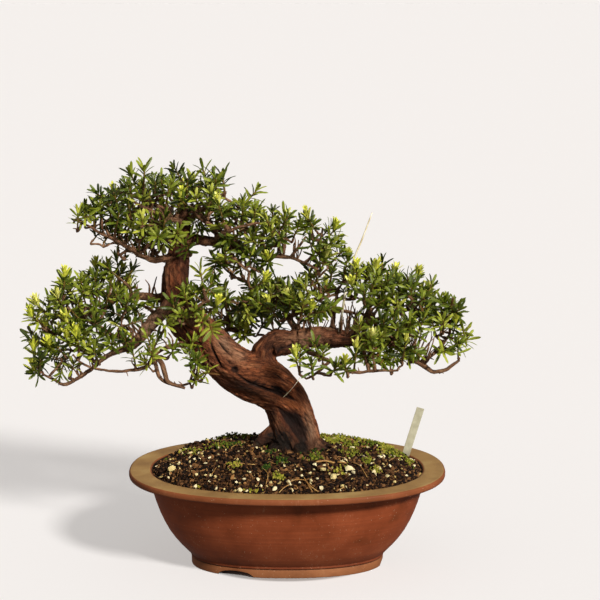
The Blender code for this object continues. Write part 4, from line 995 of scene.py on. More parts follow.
def makeTwigs(thin):
    draw = random.Random(21)
    paths = [knobbly(run, 1.5, 0.16, 3) for run in thin]
    paths += [smoothPath(path, 4) for path in extraTwigs]
    for shoot in shoots:
        rows = knobbly(smoothPath(shoot["twig"], 3), 1.5, 0.5, 5)
        paths.append([(x, y, z, 1.28 * radius) for x, y, z, radius in rows])
    for name, low, high, count, lengths, lean in thickets:
        rows = smoothPath(limbPaths[name], 8)
        for _ in range(count):
            x, y, z, radius = rows[int(draw.uniform(low, high) * (len(rows) - 1))]
            way = Vector(lean) + Vector((draw.gauss(0, 0.3), draw.gauss(0, 0.4), 0))
            reach = draw.uniform(*lengths) + radius
            bend = Vector((draw.gauss(0, 2), draw.gauss(0, 2), 0))
            start = Vector((x, y, z))
            tip = start + way.normalized() * reach
            thick = draw.uniform(0.6, 1.1)
            rise = (*start, thick * 1.3), (*(start.lerp(tip, 0.55) + bend), thick), (*tip, thick * 0.55)
            paths.append(knobbly(smoothPath(rise, 4), 1.2, 0.4, 8))
    stubs = []
    for run in thin + [shoot["twig"] for shoot in shoots[::2]]:  # short dead spurs where needles fell
        for x, y, z, radius in run[1:-1:3]:
            if draw.random() < 0.5:
                way = Vector((draw.gauss(0, 1), draw.gauss(0, 1), draw.gauss(0.4, 0.8))).normalized()
                reach = draw.uniform(3, 8)
                tip = Vector((x, y, z)) + way * reach
                stubs.append(((x, y, z, 0.8), (*(Vector((x, y, z)).lerp(tip, 0.6)), 0.7), (*tip, 0.35)))
    mesh = tubeMesh("twigs", paths, 8)
    bm = bmesh.new()
    bm.from_mesh(mesh)
    bm.from_mesh(tubeMesh("spurs", stubs, 4))
    mesh = meshFrom(bm, "twigs")
    grain, size = grainOf(pointsOf(mesh), paths)
    mesh.transform(toFrame)
    storeVector(mesh, "grain", grain * mm)
    storeVector(mesh, "relief", np.stack([np.zeros(len(size)), size / 30, np.ones(len(size))], 1))
    mesh.shade_smooth()
    makePiece("twigsAndSpurs", mesh, bpy.data.materials["yewBark"], "bark", "trunk_and_branches")


def barkMaterial():
    # Yew bark: thin reddish-brown flakes that peel along the grain over darker red inner bark, paler and browner on
    # young twigs.
    # Painted light on the front in warm and pale grey patches, painted shade in dark patches and cracks, a painted
    # highlight on the ridges, moss and painted shade at the foot.
    material, tree, shader = newMaterial("yewBark", {"Metallic": 0, "IOR": 1.45, "Specular IOR Level": 0.25})
    grain = addNode(tree, "Attribute", {"attribute_name": "grain"}).outputs["Vector"]
    relief, girth, _ = storedParts(tree, "relief")
    place = objectPlace(tree)
    height = axes(tree, place)[2]
    flaky = addNode(tree, "TexNoise", {"Scale": 1, "Detail": 7, "Roughness": 0.7}, {
        "Vector": stretched(tree, grain, (400, 400, 130)),  # flakes 2.5 mm by 8 mm
    })
    flakes = flaky.outputs[0]
    bent = addNode(tree, "VectorMath", {"operation": "MULTIPLY_ADD", 1: (1.3, 1.3, 1.3)}, {
        0: flaky.outputs[1], 2: stretched(tree, grain, (210, 210, 75)),
    }).outputs[0]
    plates = addNode(tree, "TexVoronoi", {"feature": "DISTANCE_TO_EDGE", "Scale": 1}, {"Vector": bent}).outputs[0]
    plateTone = axes(tree, addNode(tree, "TexVoronoi", {"Scale": 1}, {"Vector": bent}).outputs["Color"])[0]
    fibres = noisy(tree, stretched(tree, grain, (1500, 1500, 170)), 1, 4)  # 0.7 mm wide
    patches = noisy(tree, place, 34, 4, 0.6)
    brown = toneRamp(
        tree, flakes, (0.3, "28120a"), (0.43, "5f321b"), (0.55, "8a4c2c"), (0.66, "ae7047"), (0.8, "cc9a6e"))
    red = toneRamp(tree, flakes, (0.3, "1a0b06"), (0.45, "452111"), (0.6, "61301c"), (0.75, "884f37"))
    redShare = spread(tree, height, 0.27, 0.34)  # the upper trunk is redder
    redPatches = spread(tree, patches, 0.55, 0.75, 0, 0.6)
    colour = blend(tree, combine(tree, "MULTIPLY_ADD", redShare, 0.75, redPatches, clamp=True), brown, red)
    limbShade = spread(tree, girth, 0.48, 0.36, 1, 0.6)
    plateShade = spread(tree, plateTone, 0, 1, 0.7, 1.25)
    colour = blend(tree, 1, colour, combine(tree, "MULTIPLY", limbShade, plateShade), "MULTIPLY")
    twig = toneRamp(tree, flakes, (0.3, "40281a"), (0.5, "7e5a40"), (0.7, "ab8966"))
    colour = blend(tree, spread(tree, girth, 0.22, 0.1), colour, twig)
    colour = blend(tree, 0.6, colour, fibres, "SOFT_LIGHT")
    dabs = storedParts(tree, "dabs")
    colour = blend(tree, spread(tree, relief, 0.05, 0.35, 0, 0.4), colour, "a3714d")  # painted highlight on the raised ridges
    ragged = spread(tree, flakes, 0.35, 0.65, 0.45, 1.3)
    # the front's patches: warm and pale ones are painted light, dark ones painted shade
    for channel, tone in ((1, "8a4c26"), (2, "8f7058"), (0, "150b06")):
        colour = blend(tree, combine(tree, "MULTIPLY", dabs[channel], ragged, clamp=True), colour, tone)
    # painted shade, darker the deeper the relief in the cracks; dark seams between the bark plates
    cracks = spread(tree, relief, -0.2, -0.8, 0, 0.92)
    seams = spread(tree, plates, 0.08, 0.01, 0, 0.6)
    colour = blend(tree, combine(tree, "MAXIMUM", cracks, seams), colour, "120704")
    # moss and painted shade at the trunk's foot, near black, held back where the front's painted light falls
    foot = spread(tree, combine(tree, "MULTIPLY_ADD", patches, 0.03, height), 0.172, 0.138)
    lit = combine(tree, "ADD", dabs[1], dabs[2])
    footShare = combine(tree, "MULTIPLY_ADD", lit, -0.9, combine(tree, "MULTIPLY", foot, 0.93), clamp=True)
    mossAndShade = toneRamp(tree, patches, (0.35, "0d0805"), (0.55, "1e170b"), (0.7, "343212"))
    colour = blend(tree, footShare, colour, mossAndShade)
    rough = combine(tree, "MULTIPLY_ADD", fibres, 0.3, flakes)
    rough = combine(tree, "ADD", rough, spread(tree, plates, 0, 0.25, 0, 0.6))
    paint(tree, shader, colour, rough, 0.9, 0.0014, spread(tree, flakes, 0.3, 0.7, 0.9, 0.62))
    return material



thickRuns, thinRuns = woodRuns()
makeTrunk(thickRuns)
print("trunk and limbs carved")
makeTwigs(thinRuns)
print("twigs grown")


# ---- the needles: flat, pointed and slightly curved, set round each green shoot

needleShape = {
    "stations": (  # along, half width, half thickness, lift
        (0, 0.5, 0.3, 0), (1.4, 0.7, 0.3, 0.1), (3.6, 1.4, 0.36, 0.4), (10, 1.66, 0.4, 0.35), (15.6, 1.4, 0.32, -0.5),
    ),
    "shoulder": (17.6, 0.8, 0.24, -1.0),
    "tip": (18.4, -1.2),
}
tuftShapes = {
    "variants": 9, "needles": (10, 14), "length": (0.62, 1.0), "combVariants": 3,
    "lowTilt": 78, "highTilt": 22, "goldenTurn": 137.5, "bareFoot": 5.0, "twist": 0.6,
    "sizes": (0.86, 1.1), "levelBelow": 0.45, "combShare": 0.7,  # flatter shoots than this may be combs
    "tone": (0.4, 0.2), "toneCap": 0.66, "brushTone": (0.5, 0.2), "toneSpread": 0.34,
    "dryVariants": 3, "dryShare": 0.35, "dryNeedles": (7, 10),
    "brushVariants": 5, "brushNeedles": (8, 11), "brushLength": (0.62, 0.86), "brushTilt": (3, 27),
}


def needleMesh():
    bm = bmesh.new()
    stations = needleShape["stations"]
    ring = bmesh.ops.create_circle(bm, cap_ends=True, segments=4, radius=1)["verts"]
    edges = list(bm.edges)
    bmesh.ops.scale(bm, verts=ring, vec=(stations[0][1], stations[0][2], 1))
    for before, after in zip(stations, (*stations[1:], needleShape["shoulder"])):
        grown = bmesh.ops.extrude_edge_only(bm, edges=edges)["geom"]
        ring = [item for item in grown if isinstance(item, bmesh.types.BMVert)]
        edges = [item for item in grown if isinstance(item, bmesh.types.BMEdge) and item.is_boundary]
        bmesh.ops.translate(bm, verts=ring, vec=(0, -before[3], -before[0]))
        bmesh.ops.scale(bm, verts=ring, vec=(after[1] / before[1], after[2] / before[2], 1))
        bmesh.ops.translate(bm, verts=ring, vec=(0, after[3], after[0]))
    bmesh.ops.pointmerge(bm, verts=ring, merge_co=(0, needleShape["tip"][1], needleShape["tip"][0]))
    bmesh.ops.recalc_face_normals(bm, faces=bm.faces)
    return meshFrom(bm, "needle")


def addCopy(bm, mesh, matrix, leaf):
    # one more copy of a small mesh, placed and given its colours
    copy = mesh.copy()
    copy.transform(matrix)
    storeVector(copy, "leaf", np.tile(leaf, (len(copy.vertices), 1)))
    bm.from_mesh(copy)
    bpy.data.meshes.remove(copy)


def addShoot(bm, mesh, matrix, tone):
    # one more shoot, whose needles share a tone and differ a little
    copy = mesh.copy()
    copy.transform(matrix)
    leaf = copy.attributes["leaf"].data
    values = np.empty(len(leaf) * 3, np.float32)
    leaf.foreach_get("vector", values)
    values[1::3] = np.clip(tone + tuftShapes["toneSpread"] * (values[1::3] - 0.5), 0, 1)
    leaf.foreach_set("vector", values)
    bm.from_mesh(copy)
    bpy.data.meshes.remove(copy)


def standing(foot, way, facing):
    # a frame whose Z is the way and whose Y leans to the facing
    z = Vector(way).normalized()
    x = Vector(facing).cross(z)
    x = z.orthogonal().normalized() if x.length < 1e-4 else x.normalized()
    turn = Matrix((x, z.cross(x), z)).transposed().to_4x4()
    return Matrix.Translation(foot) @ turn


def tuft(draw, needle, comb, dry):
    # a mature shoot; a comb has its needles in two flat rows, as yew shows on level twigs
    bm = bmesh.new()
    length = foliage["shootLength"]
    rows = ((-0.6, 1.15), (length * 0.5, 0.95), (length, 0.75), (length + 1.6, 0.3))  # height, radius
    stem = tubeMesh("stem", [[(0, 0, height, radius) for height, radius in rows]], 6)
    addCopy(bm, stem, Matrix(), (0.3, draw.random(), 1))
    count = draw.randint(*tuftShapes["dryNeedles" if dry else "needles"])
    for number in range(count):
        share = number / (count - 1)
        turn = math.radians(tuftShapes["goldenTurn"] * number)
        if comb:
            turn = math.pi * (number % 2) + draw.gauss(0, 0.2)
        height = tuftShapes["bareFoot"] + (length - tuftShapes["bareFoot"]) * share
        tilt = tuftShapes["lowTilt"] + (tuftShapes["highTilt"] - tuftShapes["lowTilt"]) * share ** 1.3
        tilt = math.radians(tilt + draw.gauss(0, 6))
        out = Vector((math.cos(turn), math.sin(turn), 0))
        way = out * math.sin(tilt) + Vector((0, 0, math.cos(tilt)))
        facing = Vector((0, 1, 0.3)) if comb else Vector((0, 0, 1))
        size = draw.uniform(*tuftShapes["length"]) * (1 - 0.12 * share)
        matrix = standing(Vector((0, 0, height)) + out * 0.7, way, facing)
        matrix = matrix @ Matrix.Rotation(draw.gauss(0, tuftShapes["twist"]), 4, "Z") @ Matrix.Diagonal((1, 1, size, 1))
        age = draw.uniform(0, 0.25) + 0.15 * share
        if dry and draw.random() < tuftShapes["dryShare"]:
            age = -1
        addCopy(bm, needle, matrix, (age, draw.random(), 0))
    return meshFrom(bm, "tuft")


def brush(draw, needle):
    # a new spring shoot: soft pale needles still packed together like a paint brush
    bm = bmesh.new()
    count = draw.randint(*tuftShapes["brushNeedles"])
    for number in range(count):
        share = number / (count - 1)
        turn = math.radians(tuftShapes["goldenTurn"] * number)
        low, high = tuftShapes["brushTilt"]
        tilt = math.radians(high + (low - high) * share + draw.gauss(0, 3))
        out = Vector((math.cos(turn), math.sin(turn), 0))
        way = out * math.sin(tilt) + Vector((0, 0, math.cos(tilt)))
        size = draw.uniform(*tuftShapes["brushLength"])
        matrix = standing(out * 0.7 + Vector((0, 0, 3 * share)), way, (0, 0, 1)) @ Matrix.Diagonal((1.05, 1.3, size, 1))
        addCopy(bm, needle, matrix, (draw.uniform(0.8, 1), draw.random(), 0))
    return meshFrom(bm, "brush")


oldGrowth = {"centre": (58, 0, 326), "reach": 30.0, "share": 0.6, "elsewhere": 0.04}  # dry tufts


def chooseBright(draw):
    # the ones seen in the photo, and a share of those behind, where no gap is kept clear above them
    bright = set()
    for index, shoot in enumerate(shoots):
        tip = shoot["base"] + shoot["way"] * foliage["shootLength"]
        behind = tip[1] > 10 and shoot["way"][2] > 0.4 and draw.random() < newGrowth["elsewhere"]
        if shoot["bright"] or behind and not inOpening(tip, tip + np.array((0, 0, 12))):
            bright.add(index)
    return bright


def makeNeedles():
    draw = random.Random(5)
    needle = needleMesh()
    tufts = [tuft(draw, needle, False, False) for _ in range(tuftShapes["variants"])]
    combs = [tuft(draw, needle, True, False) for _ in range(tuftShapes["combVariants"])]
    dried = [tuft(draw, needle, False, True) for _ in range(tuftShapes["dryVariants"])]
    brushes = [brush(draw, needle) for _ in range(tuftShapes["brushVariants"])]
    bright = chooseBright(draw)
    material = needleMaterial()
    regions = sorted({shoot["region"] for shoot in shoots})
    for region in regions:
        bm = bmesh.new()
        for index, shoot in enumerate(shoots):
            if shoot["region"] != region:
                continue
            way = Vector(shoot["way"])
            level = way.z < tuftShapes["levelBelow"] and draw.random() < tuftShapes["combShare"]
            source = draw.choice(combs if level else tufts)
            old = (Vector(shoot["base"]) - Vector(oldGrowth["centre"])).length < oldGrowth["reach"]
            if draw.random() < oldGrowth["share" if old else "elsewhere"] and index not in bright:
                source = draw.choice(dried)
            size = draw.uniform(*tuftShapes["sizes"])
            facing = Vector((draw.gauss(0, 1), draw.gauss(0, 1), draw.gauss(0, 1)))
            if level:
                side = math.copysign(0.8, shoot["base"][1] - foliage["middleDepth"])
                facing = Vector((draw.gauss(0, 0.3), side, 0.7))
            matrix = standing(shoot["base"], way, facing) @ Matrix.Scale(size, 4)
            tone = min(tuftShapes["toneCap"], draw.gauss(*tuftShapes["tone"]))
            addShoot(bm, source, toFrame @ matrix, tone)
            if index in bright:
                tip = Vector(shoot["base"]) + way * (foliage["shootLength"] * size - 1)
                lean = (way * 0.6 + Vector((0, 0, 0.8))).normalized()
                matrix = standing(tip, lean, Vector((draw.gauss(0, 1), draw.gauss(0, 1), 0.1)))
                matrix = matrix @ Matrix.Scale(draw.uniform(*newGrowth["sizes"]), 4)
                addShoot(bm, draw.choice(brushes), toFrame @ matrix, draw.gauss(*tuftShapes["brushTone"]))
        mesh = meshFrom(bm, region + "Needles")
        nodes = [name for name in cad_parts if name.startswith(region + "_spray")]
        makePiece(region + "Foliage", mesh, material, "needles", *nodes)
        print(region, "needles set:", len(mesh.polygons), "faces")


def needleMaterial():
    # Yew needles: leathery and flat with a waxy skin, dark green when mature and soft yellow-green when
    # new. The wax gives a broad highlight. The shoot that carries them is green-brown.
    material, tree, shader = newMaterial("yewNeedles", {
        "Metallic": 0, "IOR": 1.45, "Specular IOR Level": 0.4, "Roughness": 0.42,
        "Subsurface Weight": 0.15, "Subsurface Scale": 0.002, "Subsurface Radius": (0.8, 1.0, 0.2),
    })
    age, tone, stem = storedParts(tree, "leaf")
    mature = toneRamp(tree, tone, (0.0, "2a3608"), (0.3, "556413"), (0.6, "8f992e"), (1.0, "cccc5a"))
    fresh = toneRamp(tree, tone, (0.0, "c6cc42"), (0.5, "d8da50"), (1.0, "ebe986"))
    colour = blend(tree, spread(tree, age, 0.3, 0.85), mature, fresh)
    patch = noisy(tree, objectPlace(tree), 22, 2)
    colour = blend(tree, 1, colour, spread(tree, patch, 0.35, 0.7, 0.72, 1.12), "MULTIPLY")
    colour = blend(tree, spread(tree, age, -0.2, -0.8), colour, "5e4020")  # dry needles
    paint(tree, shader, blend(tree, stem, colour, "6a5426"))
    return material



makeNeedles()


# ---- the potting mix: chips of bark, grit and pumice over the CAD mound

mixTop = {
    "halfLength": 153.0, "halfDepth": 106.0,
    "chips": 5000, "chipSize": (1.3, 3.4), "pumice": 400, "pumiceSize": (0.9, 2.5),
    "shoulderChips": 1300, "shoulderFrom": 0.78,  # more on the steep edge, from this share of the way out
    "barkBits": 420, "barkSize": (2.2, 4.6),
    "straws": 22, "strawLength": (7, 20),
    "chunks": (  # the larger grains of pumice, where the photo shows them: across, down, size in mm
        (156, 465, 3.4), (171, 462, 2.4), (180, 465, 3.4), (181, 454, 3), (173, 472, 6), (170, 479, 3.4),
        (191, 456, 4.2), (195, 463, 2.2), (200, 463, 2.2), (206, 466, 3), (210, 461, 2.6), (217, 463, 2.2),
        (208, 444, 3), (206, 477, 2.6), (210, 482, 2.6), (217, 489, 3.4), (225, 490, 2.2), (240, 491, 4.6),
        (247, 492, 2.6), (240, 484, 2.6), (244, 481, 2.4), (237, 483, 2.2), (197, 487, 3.4), (289, 484, 4.8),
        (292, 491, 3.6), (275, 490, 4.6), (311, 483, 3.6), (321, 489, 4.6), (315, 469, 4.4), (323, 473, 4.2),
        (333, 479, 6), (337, 477, 4), (342, 487, 5), (349, 472, 6.4), (353, 475, 4), (342, 465, 4), (352, 450, 3.6),
        (359, 445, 3), (363, 442, 2.6), (380, 462, 4.2), (383, 459, 3.4), (378, 470, 3.4), (374, 474, 3.8),
        (386, 477, 3.4), (393, 483, 3), (401, 462, 2.6), (414, 458, 3.4), (413, 468, 3), (420, 466, 2.6),
        (378, 444, 2.6), (393, 448, 2.6), (334, 441, 3.4), (323, 442, 3), (261, 487, 2.6), (302, 478, 2.4),
        (366, 486, 2.6), (405, 477, 2.6), (226, 452, 2.6), (238, 462, 2.2), (250, 474, 2.4), (161, 458, 2.6),
    ),
    "litter": (  # dead grass and root bits in the photo: spots along each, radius in mm
        (((316, 465), (325, 464), (334, 466)), 1.0), (((337, 465), (346, 467)), 0.9),
        (((287, 485), (296, 482), (305, 483), (311, 488), (318, 493)), 0.5),
        (((279, 494), (284, 489), (289, 486)), 0.5),
        (((228, 471), (236, 468), (246, 467), (255, 467)), 0.45), (((304, 480), (308, 486), (312, 492)), 0.45),
        (((188, 441), (192, 438), (196, 441)), 0.4), (((253, 443), (255, 450), (252, 456)), 0.45),
        (((165, 462), (174, 466)), 0.5), (((352, 466), (360, 470), (366, 478)), 0.4), (((388, 465), (394, 460)), 0.45),
        (((217, 470), (212, 477)), 0.4), (((262, 470), (268, 478), (266, 486)), 0.4), (((336, 492), (344, 488)), 0.45),
    ),
    "clods": (  # heaps that roughen the mound: (x, y), radius, height
        ((-66, 84), 18, 5), ((-46, 92), 14, 4), ((38, 92), 16, 5), ((62, 86), 14, 4), ((-120, 20), 18, 3),
        ((-96, -30), 16, 4), ((-60, -66), 18, 4), ((-20, -84), 16, 3), ((30, -80), 18, 4), ((74, -60), 16, 3),
        ((-38, -16), 13, 8), ((110, -20), 16, 4), ((98, 40), 20, 4), ((-100, 52), 16, 4), ((56, -20), 14, 3),
        ((-50, -24), 14, 4),
    ),
}


def chipMesh(draw, squash, ragged):
    bm = bmesh.new()
    bmesh.ops.create_icosphere(bm, subdivisions=1, radius=1)
    for vert in bm.verts:
        vert.co *= 1 + draw.uniform(-ragged, ragged)
    bmesh.ops.scale(bm, verts=bm.verts, vec=squash)
    return meshFrom(bm, "chip")


def mixSurface():
    # finds the mound's height and slope below a place
    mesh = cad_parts["potting_mix"].data
    bm = bmesh.new()
    bm.from_mesh(mesh)
    tree = BVHTree.FromBMesh(bm)
    bm.free()
    return tree


def heapHeight(place):
    rise = 0
    for (x, y), radius, height in mixTop["clods"]:
        gap = math.hypot(place.x - x, place.y - y) / radius
        rise += height * math.exp(-2 * gap * gap)
    return rise


def groundSeen(tree, across, down):
    # the place on the mound that the picture shows at a spot
    eye, sight = sightLine(across, down)
    start = toFrame @ eye
    hit, slope, _, _ = tree.ray_cast(start, (toFrame @ (eye + sight) - start).normalized())
    return (None, None) if hit is None or hit.z < 0.1 else ((hit - potMiddle) / mm, slope)


def groundSpot(draw, tree, innermost=0):
    while True:
        x = draw.uniform(-1, 1) * mixTop["halfLength"]
        y = draw.uniform(-1, 1) * mixTop["halfDepth"]
        out = abs(x / mixTop["halfLength"]) ** 2.3 + abs(y / mixTop["halfDepth"]) ** 2.3
        if out > 1 or out < innermost:
            continue
        start = toFrame @ Vector((x, y, 200))
        hit, slope, _, _ = tree.ray_cast(start, Vector((0, 0, -1)))
        if hit is None or hit.z < 0.1:
            continue
        return (hit - potMiddle) / mm, slope


def scatter(draw, tree, sources, count, sizes, tones, sink, innermost=0):
    bm = bmesh.new()
    for _ in range(count):
        place, slope = groundSpot(draw, tree, innermost)
        size = draw.uniform(*sizes) * draw.uniform(0.8, 1.1)
        place.z += heapHeight(place) * draw.uniform(0.3, 1)
        turn = Matrix.Rotation(draw.uniform(0, 6.3), 4, "Z") @ Matrix.Rotation(draw.gauss(0, 0.7), 4, "X")
        turn = turn @ Matrix.Rotation(draw.gauss(0, 0.7), 4, "Y")
        matrix = Matrix.Translation(place + slope * size * sink) @ turn @ Matrix.Scale(size, 4)
        tone = tones[0] + (tones[1] - tones[0]) * draw.random() ** 1.5
        addCopy(bm, draw.choice(sources), toFrame @ matrix, (tone, draw.random(), 0))
    return bm


def mixMaterial(name, stops, roughness, grit):
    material, tree, shader = newMaterial(name, {"Metallic": 0, "Roughness": roughness, "Specular IOR Level": 0.2})
    tone = storedParts(tree, "leaf")[0]
    speckle = noisy(tree, objectPlace(tree), grit, 4, 0.7)
    both = combine(tree, "ADD", combine(tree, "MULTIPLY_ADD", speckle, 0.35, -0.17), tone)
    paint(tree, shader, toneRamp(tree, both, *stops), speckle, 0.6, 0.0006)
    return material



def moundMaterial():
    # The bed under the chips: fine crumbs of bark and peat, damp and dark, about 2 mm across
    material, tree, shader = newMaterial("pottingCrumbs", {
        "Metallic": 0, "Roughness": 0.92, "Specular IOR Level": 0.15,
    })
    crumbs = addNode(tree, "TexVoronoi", {"Scale": 480}, {"Vector": objectPlace(tree)})
    shade = axes(tree, crumbs.outputs["Color"])[0]
    colour = toneRamp(tree, shade, (0.1, "120803"), (0.5, "33200f"), (0.8, "56381e"), (0.95, "75522f"))
    paint(tree, shader, colour, spread(tree, crumbs.outputs[0], 0.6, 0.1), 1, 0.0012)
    return material



def makeMix():
    draw = random.Random(11)
    tree = mixSurface()
    # Composted bark and grit: damp, dark brown and matt, with rust-brown chips among it
    dark = mixMaterial("compostedBark", (
        (0.0, "0a0402"), (0.28, "1c0e06"), (0.55, "3c2412"), (0.8, "6e4c2c"), (1.0, "966c3e"),
    ), 0.9, 420)
    # Pumice and perlite: foamed stone and glass, cream-white and porous, stained by the mix
    pale = mixMaterial("pumiceGrit", (
        (0.0, "6a4f24"), (0.3, "9c8148"), (0.6, "c9b77c"), (1.0, "e6dab0"),
    ), 0.85, 700)
    chips = [chipMesh(draw, (1, draw.uniform(0.4, 0.8), draw.uniform(0.3, 0.6)), 0.3) for _ in range(9)]
    lumps = [chipMesh(draw, (1, draw.uniform(0.5, 0.85), draw.uniform(0.45, 0.75)), 0.38) for _ in range(9)]
    bm = scatter(draw, tree, chips, mixTop["chips"], mixTop["chipSize"], (0.0, 0.9), 0.3)
    edge = scatter(
        draw, tree, chips, mixTop["shoulderChips"], mixTop["chipSize"], (0.0, 0.9), 0.3, mixTop["shoulderFrom"])
    bm.from_mesh(meshFrom(edge, "edge"))
    bits = scatter(draw, tree, chips, mixTop["barkBits"], mixTop["barkSize"], (0.3, 1.0), 0.45)
    bm.from_mesh(meshFrom(bits, "bits"))
    makePiece("barkChips", meshFrom(bm, "barkChips"), dark, "potting_mix")
    bm = scatter(draw, tree, lumps, mixTop["pumice"], mixTop["pumiceSize"], (0.3, 1.15), 0.7)
    for across, down, size in mixTop["chunks"]:
        place, slope = groundSeen(tree, across, down)
        if place is None:
            continue
        turn = Matrix.Rotation(draw.uniform(0, 6.3), 4, "Z") @ Matrix.Rotation(draw.gauss(0, 0.5), 4, "X")
        place.z += 0.8 * heapHeight(place)
        matrix = Matrix.Translation(place + slope * (2 + size * 0.3)) @ turn @ Matrix.Scale(size * 0.78, 4)
        addCopy(bm, draw.choice(lumps), toFrame @ matrix, (draw.uniform(0.5, 1.1), draw.random(), 0))
    makePiece("pumiceGrains", meshFrom(bm, "pumiceGrains"), pale, "potting_mix")
    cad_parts["potting_mix"].material_slots[0].material = moundMaterial()
    straws = []
    for _ in range(mixTop["straws"]):
        place, slope = groundSpot(draw, tree)
        turn, length = draw.uniform(0, 6.3), draw.uniform(*mixTop["strawLength"])
        rows = []
        for step in range(6):
            along = (step / 5 - 0.5) * length
            bend = 0.12 * length * math.sin(step * 0.9 + turn)
            x = place.x + along * math.cos(turn) - bend * math.sin(turn)
            y = place.y + along * math.sin(turn) + bend * math.cos(turn)
            hit, _, _, _ = tree.ray_cast(toFrame @ Vector((x, y, 200)), Vector((0, 0, -1)))
            if hit is None or hit.z < 0.1:
                break
            rows.append((x, y, hit.z / mm + 2.4 + 0.8 * math.sin(step * 1.3), 0.36 if step < 5 else 0.2))
        if len(rows) > 2:
            straws.append(rows)
    for spots, radius in mixTop["litter"]:
        found = [groundSeen(tree, *spot) for spot in spots]
        rows = [
            (*(place + slope * (2.6 + radius) + Vector((0, 0, 0.8 * heapHeight(place)))), radius)
            for place, slope in found if place is not None
        ]
        if len(rows) > 1:
            straws.append(smoothPath(rows, 4))
    mesh = tubeMesh("dryGrass", straws, 6)
    mesh.transform(toFrame)
    makePiece("dryGrassBits", mesh, strawMaterial("deadGrass", ("7d5526", "a87c40", "c9a867")), "dry_straw")


def strawMaterial(name, tones):
    # Dry grass: bleached, slightly shiny straw, whitish where the light passes through
    material, tree, shader = newMaterial(name, {"Metallic": 0, "Roughness": 0.5, "IOR": 1.45})
    streak = noisy(tree, objectPlace(tree), 120, 3)
    paint(tree, shader, toneRamp(tree, streak, *zip((0.3, 0.5, 0.7), tones)))
    return material



makeMix()
print("potting mix spread")


# ---- moss on the mix and round the trunk's foot

mossPatches = {
    "seen": (  # where the photo shows moss: across, down, half sizes in pixels, sprouts, age (1 is yellow-green)
        (271, 452, 4, 4, 90, 0.3), (266, 470, 3, 3, 45, 0.3), (279, 479, 5, 3, 50, 0.8), (334, 442, 9, 3, 150, 0.75),
        (350, 446, 8, 4, 70, 0.7), (389, 449, 9, 3, 130, 0.8), (367, 462, 4, 3, 60, 0.65), (235, 469, 6, 2, 40, 0.8),
        (172, 446, 6, 2, 40, 0.7), (150, 460, 3, 3, 26, 0.75), (305, 450, 12, 5, 60, 0.15), (290, 446, 8, 4, 50, 0.1),
        (375, 472, 6, 3, 24, 0.8), (410, 464, 5, 4, 30, 0.7), (218, 448, 8, 3, 30, 0.6), (340, 472, 8, 4, 24, 0.9),
        (255, 492, 8, 2, 16, 0.8), (198, 487, 2, 1, 12, 0.85), (350, 455, 10, 3, 60, 0.7), (400, 455, 8, 4, 60, 0.65),
        (315, 458, 6, 3, 40, 0.6), (372, 447, 10, 2, 60, 0.55), (232, 446, 10, 2, 40, 0.45), (280, 462, 6, 4, 36, 0.35),
    ),
    "behind": (  # the side that the photo doesn't show: centre in mm, half size, sprouts, age
        ((70, 60), (46, 22), 160, 0.75), ((-50, 70), (40, 20), 120, 0.6), ((30, 84), (30, 12), 80, 0.7),
        ((10, 44), (16, 8), 90, 0.25), ((-110, 20), (24, 20), 40, 0.7), ((120, 14), (20, 20), 50, 0.75),
    ),
    "size": (0.55, 1.35),
}


def makeMoss():
    # Moss: cushions of tiny spiky leaves, so it looks soft, deep green in shade and yellow-green where dry
    draw = random.Random(3)
    tree = mixSurface()
    bm = bmesh.new()
    bmesh.ops.create_icosphere(bm, subdivisions=1, radius=0.5)
    bmesh.ops.poke(bm, faces=bm.faces, offset=0.95)
    sprout = meshFrom(bm, "sprout")
    found = []
    for across, down, wide, high, count, age in mossPatches["seen"]:
        for _ in range(count):
            found.append((groundSeen(tree, across + draw.gauss(0, 0.6) * wide, down + draw.gauss(0, 0.6) * high), age))
    for (x0, y0), (wide, deep), count, age in mossPatches["behind"]:
        for _ in range(count):
            x, y = x0 + draw.gauss(0, 0.5) * wide, y0 + draw.gauss(0, 0.5) * deep
            hit, slope, _, _ = tree.ray_cast(toFrame @ Vector((x, y, 200)), Vector((0, 0, -1)))
            if hit is not None and hit.z > 0.1:
                found.append((((hit - potMiddle) / mm, slope), age))
    bm = bmesh.new()
    for (place, slope), age in found:
        if place is None:
            continue
        size = draw.uniform(*mossPatches["size"])
        place = place + Vector((0, 0, 0.85 * heapHeight(place)))
        matrix = Matrix.Translation(place + slope * (2.5 + size * 0.5)) @ Matrix.Rotation(draw.uniform(0, 6.3), 4, "Z")
        matrix = matrix @ Matrix.Diagonal((size, size, size * draw.uniform(0.7, 1.5), 1))
        addCopy(bm, sprout, toFrame @ matrix, (age + draw.gauss(0, 0.14), draw.random(), 0))
    material, nodes, shader = newMaterial("livingMoss", {"Metallic": 0, "Roughness": 0.8, "Specular IOR Level": 0.2})
    stops = (0.0, "15240a"), (0.35, "34541a"), (0.65, "7c8424"), (1.0, "c2b84c")
    paint(nodes, shader, toneRamp(nodes, storedParts(nodes, "leaf")[0], *stops))
    makePiece("mossCushions", meshFrom(bm, "moss"), material, "potting_mix")


makeMoss()
print("moss grown")


# ---- the tag, the grass stem, a loose fibre and the drain screens

tagShape = {"foot": (126.5, 40, 77), "top": (154.5, 40, 171), "width": 9.0, "thickness": 1.0, "point": 14.0}


